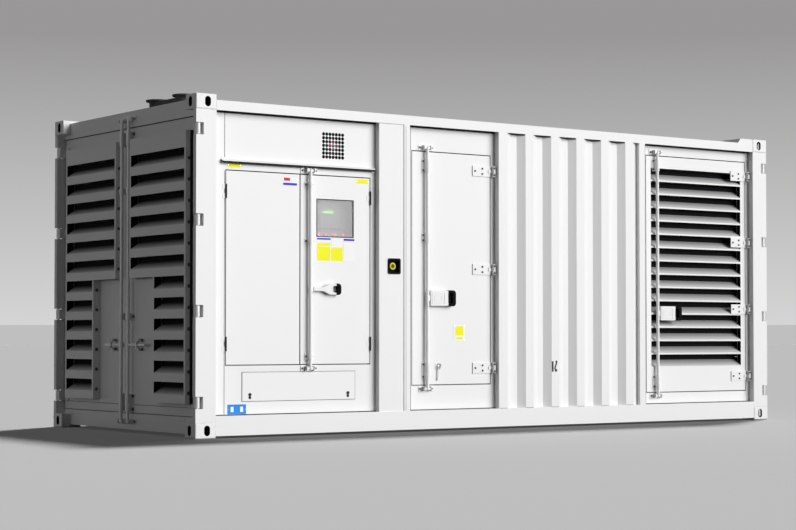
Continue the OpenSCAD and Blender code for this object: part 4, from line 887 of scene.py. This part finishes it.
# ---- Coloured plates -----------------------------------------------------------
# Small enamelled plates are riveted to the doors and to the lower panel. They
# are left bare: plain coloured fields with no lettering.
enamels = [coat("enamel_" + name, colour, gloss, uneven=uneven, sheen=0.15)
           for name, colour, gloss, uneven in (
               ("yellow", (0.98, 0.95, 0.010), 0.5, 0.03),
               ("blue", (0.035, 0.035, 0.80), 0.5, 0.05),
               ("azure", (0.015, 0.27, 0.80), 0.5, 0.05),
               ("red", (0.72, 0.03, 0.03), 0.5, 0.05),
               ("white", (0.95, 0.95, 0.955), 0.45, 0.01))]
yellow, blue, azure, red, white = range(len(enamels))
plate_back, plate_front, raised_front = 63.2, 62.0, 61.4
plate_sets = {
    "container": ((311, 425, 2052, 2085, yellow), (312, 477, 175, 249, azure),
                  (340, 366, 192, 232, white), (424, 450, 192, 232, white)),
    "control_leaf_left": ((802, 936, 1930, 2002, white), (812, 868, 1972, 1996, red),
                          (806, 932, 1938, 1956, blue)),
    "control_leaf_right": ((1490, 1604, 1983, 2015, yellow),
                           (1118, 1245, 1504, 1537, white), (1118, 1245, 1524, 1537, blue),
                           (1118, 1245, 1475, 1500, yellow), (1118, 1245, 1360, 1471, yellow),
                           (1255, 1360, 1470, 1537, white), (1255, 1360, 1360, 1464, yellow),
                           (1370, 1471, 1360, 1537, white), (1370, 1471, 1521, 1537, blue)),
    "service_leaf": ((2460, 2575, 728, 862, white), (2476, 2558, 775, 850, yellow),
                     (2484, 2550, 742, 762, yellow))}
for body, plates in plate_sets.items():
    bm = bmesh.new()
    for u0, u1, v0, v1, field in plates:
        before = set(bm.faces)
        raised = any(o[0] <= u0 and u1 <= o[1] and o[2] <= v0 and v1 <= o[3]
                     and o[:4] != (u0, u1, v0, v1) for o in plates)
        block(bm, front_at, (u0, u1), (raised_front if raised else plate_front, plate_back),
              (v0, v1), 0.35)
        for made_face in set(bm.faces) - before:
            made_face.material_index = field
    piece(body + "_plates", bm, body, "white_paint", *enamels)
rivets = {"container": ((316, 2068), (420, 2068), (318, 212), (471, 212)),
          "control_leaf_left": ((808, 1984), (930, 1984)),
          "control_leaf_right": ((1495, 1999), (1599, 1999)),
          "service_leaf": ((2467, 856), (2568, 856), (2467, 734), (2568, 734))}
rivet_head = {"Head sides": 10, "Head radius": 0.0030, "Head height": 0.0005,
              "Crown height": 0.0008, "Crown share": 0.55, "Washer radius": 0.0034,
              "Washer thickness": 0.0002}
for body, spots in rivets.items():
    fix(body + "_plate_rivets", [(front_at, u, plate_front, v, outwards) for u, v in spots],
        rivet_head, body, chrome)

# ---- Handles' grips ------------------------------------------------------------
# The white handles end in black moulded hand grips pushed over their open
# loops. The two wide covers have a raised rim pressed into their fronts, and their
# undersides are painted black as shade.
moulded_black = coat("moulded_black_grip", (0.005, 0.005, 0.0055), 0.55, uneven=0.2, patch=40,
                     peel=900, peel_depth=0.0002, sheen=0.03)
narrow_cut, wide_cut, grip_end = 238, 205, 279
side_wall, end_wall, grip_over = 22, 32, 3
grip_corner, grip_bend, grip_depth = 28, 13, (21, 53)
sharp_fold = 1.2


def arc(cx, cy, radius, start, end, steps=7):
    turns = [start + (end - start) * i / steps for i in range(steps + 1)]
    return [(cx + radius * math.cos(a), cy + radius * math.sin(a)) for a in turns]


def hand_grip(bm, place, x, z, half_handle, x_cut):
    """Bracket-shaped sleeve that opens towards the handle's arm."""
    q = math.pi / 2
    half_h, end_x = half_handle + grip_over, grip_end - grip_corner
    outer = ([(x_cut, half_h)] + arc(end_x, half_h - grip_corner, grip_corner, q, 0)
             + arc(end_x, grip_corner - half_h, grip_corner, 0, -q) + [(x_cut, -half_h)])
    half_h, end_x = half_h - side_wall, grip_end - end_wall - grip_bend
    inner = ([(x_cut, -half_h)] + arc(end_x, grip_bend - half_h, grip_bend, -q, 0)
             + arc(end_x, half_h - grip_bend, grip_bend, 0, q) + [(x_cut, half_h)])
    (out_f, in_f), (out_b, in_b) = (
        [[bm.verts.new(place(x + u, depth, z + v)) for u, v in line] for line in (outer, inner)]
        for depth in grip_depth)
    n = len(out_f)
    for i in range(n - 1):
        bm.faces.new((out_f[i], out_f[i + 1], in_f[n - 2 - i], in_f[n - 1 - i]))
        bm.faces.new((out_b[i + 1], out_b[i], in_b[n - 1 - i], in_b[n - 2 - i]))
        bm.faces.new((out_f[i + 1], out_f[i], out_b[i], out_b[i + 1]))
        bm.faces.new((in_f[i + 1], in_f[i], in_b[i], in_b[i + 1]))
    bm.faces.new((out_f[0], in_f[-1], in_b[-1], out_b[0]))
    bm.faces.new((in_f[0], out_f[-1], out_b[-1], in_b[0]))
    rounded(bm, [e for e in bm.edges if e.is_valid and e.calc_face_angle(0) > sharp_fold], 4, 3)


grips = {"control_leaf_right": (1042, 1136, 42), "service_leaf": (2172.3, 1078, 62.5),
         "louvre_leaf": (4713, 973, 62.5)}
wide_grips = ("service_leaf", "louvre_leaf")
for body, (x, z, half_handle) in grips.items():
    wide = body in wide_grips
    bm = bmesh.new()
    hand_grip(bm, front_at, x, z, half_handle, wide_cut if wide else narrow_cut)
    if wide:
        block(bm, front_at, (x + 196, x + 252), (40, 44), (z - 48, z + 48), 1.5)
    piece(body + "_hand_grip", bm, body, "black_plastic", moulded_black)
    if wide:
        bm = bmesh.new()
        for rim, width, top in (((x + 38, x + 168, z - 46, z + 46), 4, 22.5),
                                ((x + 62, x + 140, z - 24, z + 24), 3, 23)):
            ring(bm, front_at, rim, inset(rim, width), (top, 25.5), 0.8)
        piece(body + "_cover_rims", bm, body, "white_paint", white_paint)
# The wide handles' undersides are painted black as shade.
finish_faces(rubber_and_shade, ["service_handle", "louvre_handle"], lambda c, n: n.z < -0.9)
bm = bmesh.new()
for body in wide_grips:
    hand_grip(bm, rear_at, *grips[body], wide_cut)
piece("rear_hand_grips", bm, "container", "black_plastic", moulded_black)

# ---- Emergency stop ---------------------------------------------------------
# A black plastic cup let into the post holds a red mushroom button in a yellow
# collar, held by four low round-headed screws.
stop_red = coat("stop_button_red", (0.10, 0.005, 0.012), 0.45, uneven=0.1, patch=60, sheen=0.3)
collar_yellow = coat("collar_yellow", (0.90, 0.84, 0.008), 0.5, uneven=0.05, patch=60,
                     sheen=0.2)
finish_nodes(moulded_black, "emergency_stop")
stop_x, stop_z, cup_x = 1805.5, 1328, 1819.5
cup_face, cup_screw_x, cup_screw_z = 3, 55, 56
button_reach, button_depth = 0.0154, 0.0128
stop_centre = front_at(stop_x, 0, stop_z)
finish_faces(stop_red, ["emergency_stop"], lambda c, n: (
    math.hypot(c.x - stop_centre.x, c.z - stop_centre.z) < button_reach
    and c.y + half_w < button_depth))
bm = bmesh.new()
turned(bm, front_at, stop_x, stop_z,
       ((18, 5.5), (25, 4.5), (28, 6.5), (28, 13.1), (18, 13.1), (18, 5.5)), 32)
piece("stop_collar", bm, "container", "black_plastic", collar_yellow)
screw_head = {"Head sides": 14, "Head radius": 0.0045, "Head height": 0.0009,
              "Crown height": 0.0012, "Crown share": 0.62, "Washer radius": 0.005,
              "Washer thickness": 0.0004}
fix("emergency_stop_screws",
    [(front_at, cup_x + s * cup_screw_x, cup_face, stop_z + t * cup_screw_z, outwards)
     for s in (-1, 1) for t in (-1, 1)],
    screw_head, "container", dark_steel)

# ---- Access cover ------------------------------------------------------------
# The screwed-on cover under the doors sits on a thin gasket and has two black
# quarter-turn locks with a dust flap.
cover = (441, 1475, 272, 491)
bm = bmesh.new()
ring(bm, front_at, inset(cover, -3.5), cover, (60, 63.2), 0.5)
piece("cover_gasket", bm, "container", "black_plastic", rubber_and_shade)
locks = ((508, 322), (1408, 322))
lock_reach, lock_depth = 0.0135, 0.0589
finish_faces(black_paint, ["access_cover"], lambda c, n: (
    any((c - front_at(u, 56, v)).length < lock_reach for u, v in locks)
    and c.y + half_w < lock_depth))
bm = bmesh.new()
for u, v in locks:
    turned(bm, front_at, u, v, ((0, 50), (6, 50), (8, 51.5), (8, 53.4), (0, 53.4)), 20)
    turned(bm, front_at, u, v - 23,
           ((0, 55), (9, 55), (11.5, 56.5), (11.5, 59.2), (0, 59.2)), 20)
piece("cover_locks", bm, "container", "black_plastic", black_paint)

# ---- Small catches -----------------------------------------------------------
# The service door has a hook catch with a drop pin near its foot; the third
# crest of the wall carries a pair of flat clips; each end lever lies in a
# catch with two curled hooks.
def swept(start, stop, step):
    return [math.radians(d) for d in range(start, stop, step)]


def tube(bm, points, radius, sides=10):
    """Round bar along a line of points, closed at both ends."""
    rows = []
    for i, here in enumerate(points):
        along = (points[min(len(points) - 1, i + 1)] - points[max(0, i - 1)]).normalized()
        across = along.orthogonal() if i == 0 else across - along * across.dot(along)
        across.normalize()
        up = along.cross(across)
        rows.append([bm.verts.new(here + radius * mm * (across * math.cos(a) + up * math.sin(a)))
                     for a in [math.tau * k / sides for k in range(sides)]])
    for low, high in zip(rows, rows[1:]):
        for k in range(sides):
            j = (k + 1) % sides
            bm.faces.new((low[k], low[j], high[j], high[k]))
    bm.faces.new(rows[0][::-1])
    bm.faces.new(rows[-1])


bm = bmesh.new()
block(bm, front_at, (2268, 2318), (59, 63.2), (496, 548), 1.5, 2)
tube(bm, [front_at(2290, 52, z) for z in (418, 440, 500, 530, 541)], 4.5)
turned(bm, front_at, 2290, 418, ((0, 46), (8, 46.5), (9, 50), (9, 62.9), (0, 62.9)), 16)
tube(bm, [front_at(2304 + 16 * math.cos(a), 52, 527 + 20 * math.sin(a))
          for a in swept(150, -70, -18)], 5)
block(bm, front_at, (2280, 2300), (46, 60), (520, 532), 2, 2)
piece("service_leaf_catch", bm, "service_leaf", "zinc_fittings", zinc)

bm = bmesh.new()
block(bm, front_at, (3458, 3475), (0.3, 3.2), (467, 555), 1)
block(bm, lambda u, d, v: front_at(3500 + u * 0.93 + v * 0.36, d, 520 + v * 0.93 - u * 0.36),
      (-7, 7), (0.3, 3.2), (-34, 34), 1)
turned(bm, front_at, 3502, 479, ((0, 0.2), (11, 0.4), (13, 1.4), (13, 3.3), (0, 3.3)), 18)
turned(bm, front_at, 3508, 552, ((0, 0.2), (8, 0.4), (10, 1.4), (10, 3.3), (0, 3.3)), 18)
piece("crest_clips", bm, "container", "black_hinge", black_paint)

for end, side, name, body in (
        (-1, 1, "left_front", "end_leaf_right"), (-1, -1, "left_rear", "end_leaf_left"),
        (1, 1, "far_front", "container"), (1, -1, "far_rear", "container")):
    at = leaf_at(end, side)
    bm = bmesh.new()
    for t in (-1, 1):
        tube(bm, [at(end_lever_x + 12 * math.sin(a), 50 - 28 * math.cos(a),
                     end_lever_z + t * (18 + 28 * (1 - math.cos(a / 2))))
                  for a in swept(0, 181, 20)], 6)
        tube(bm, [at(end_lever_x + 40 * math.sin(a), 32,
                     end_lever_z + t * (28 + 30 * (1 - math.cos(a))))
                  for a in swept(-70, 71, 20)], 5.5)
    turned(bm, at, end_lever_x, end_lever_z,
           ((0, 24), (9, 24.5), (11, 27), (11, 32), (0, 32)), 18)
    piece(name + "_catch_hooks", bm, body, "zinc_fittings", zinc)
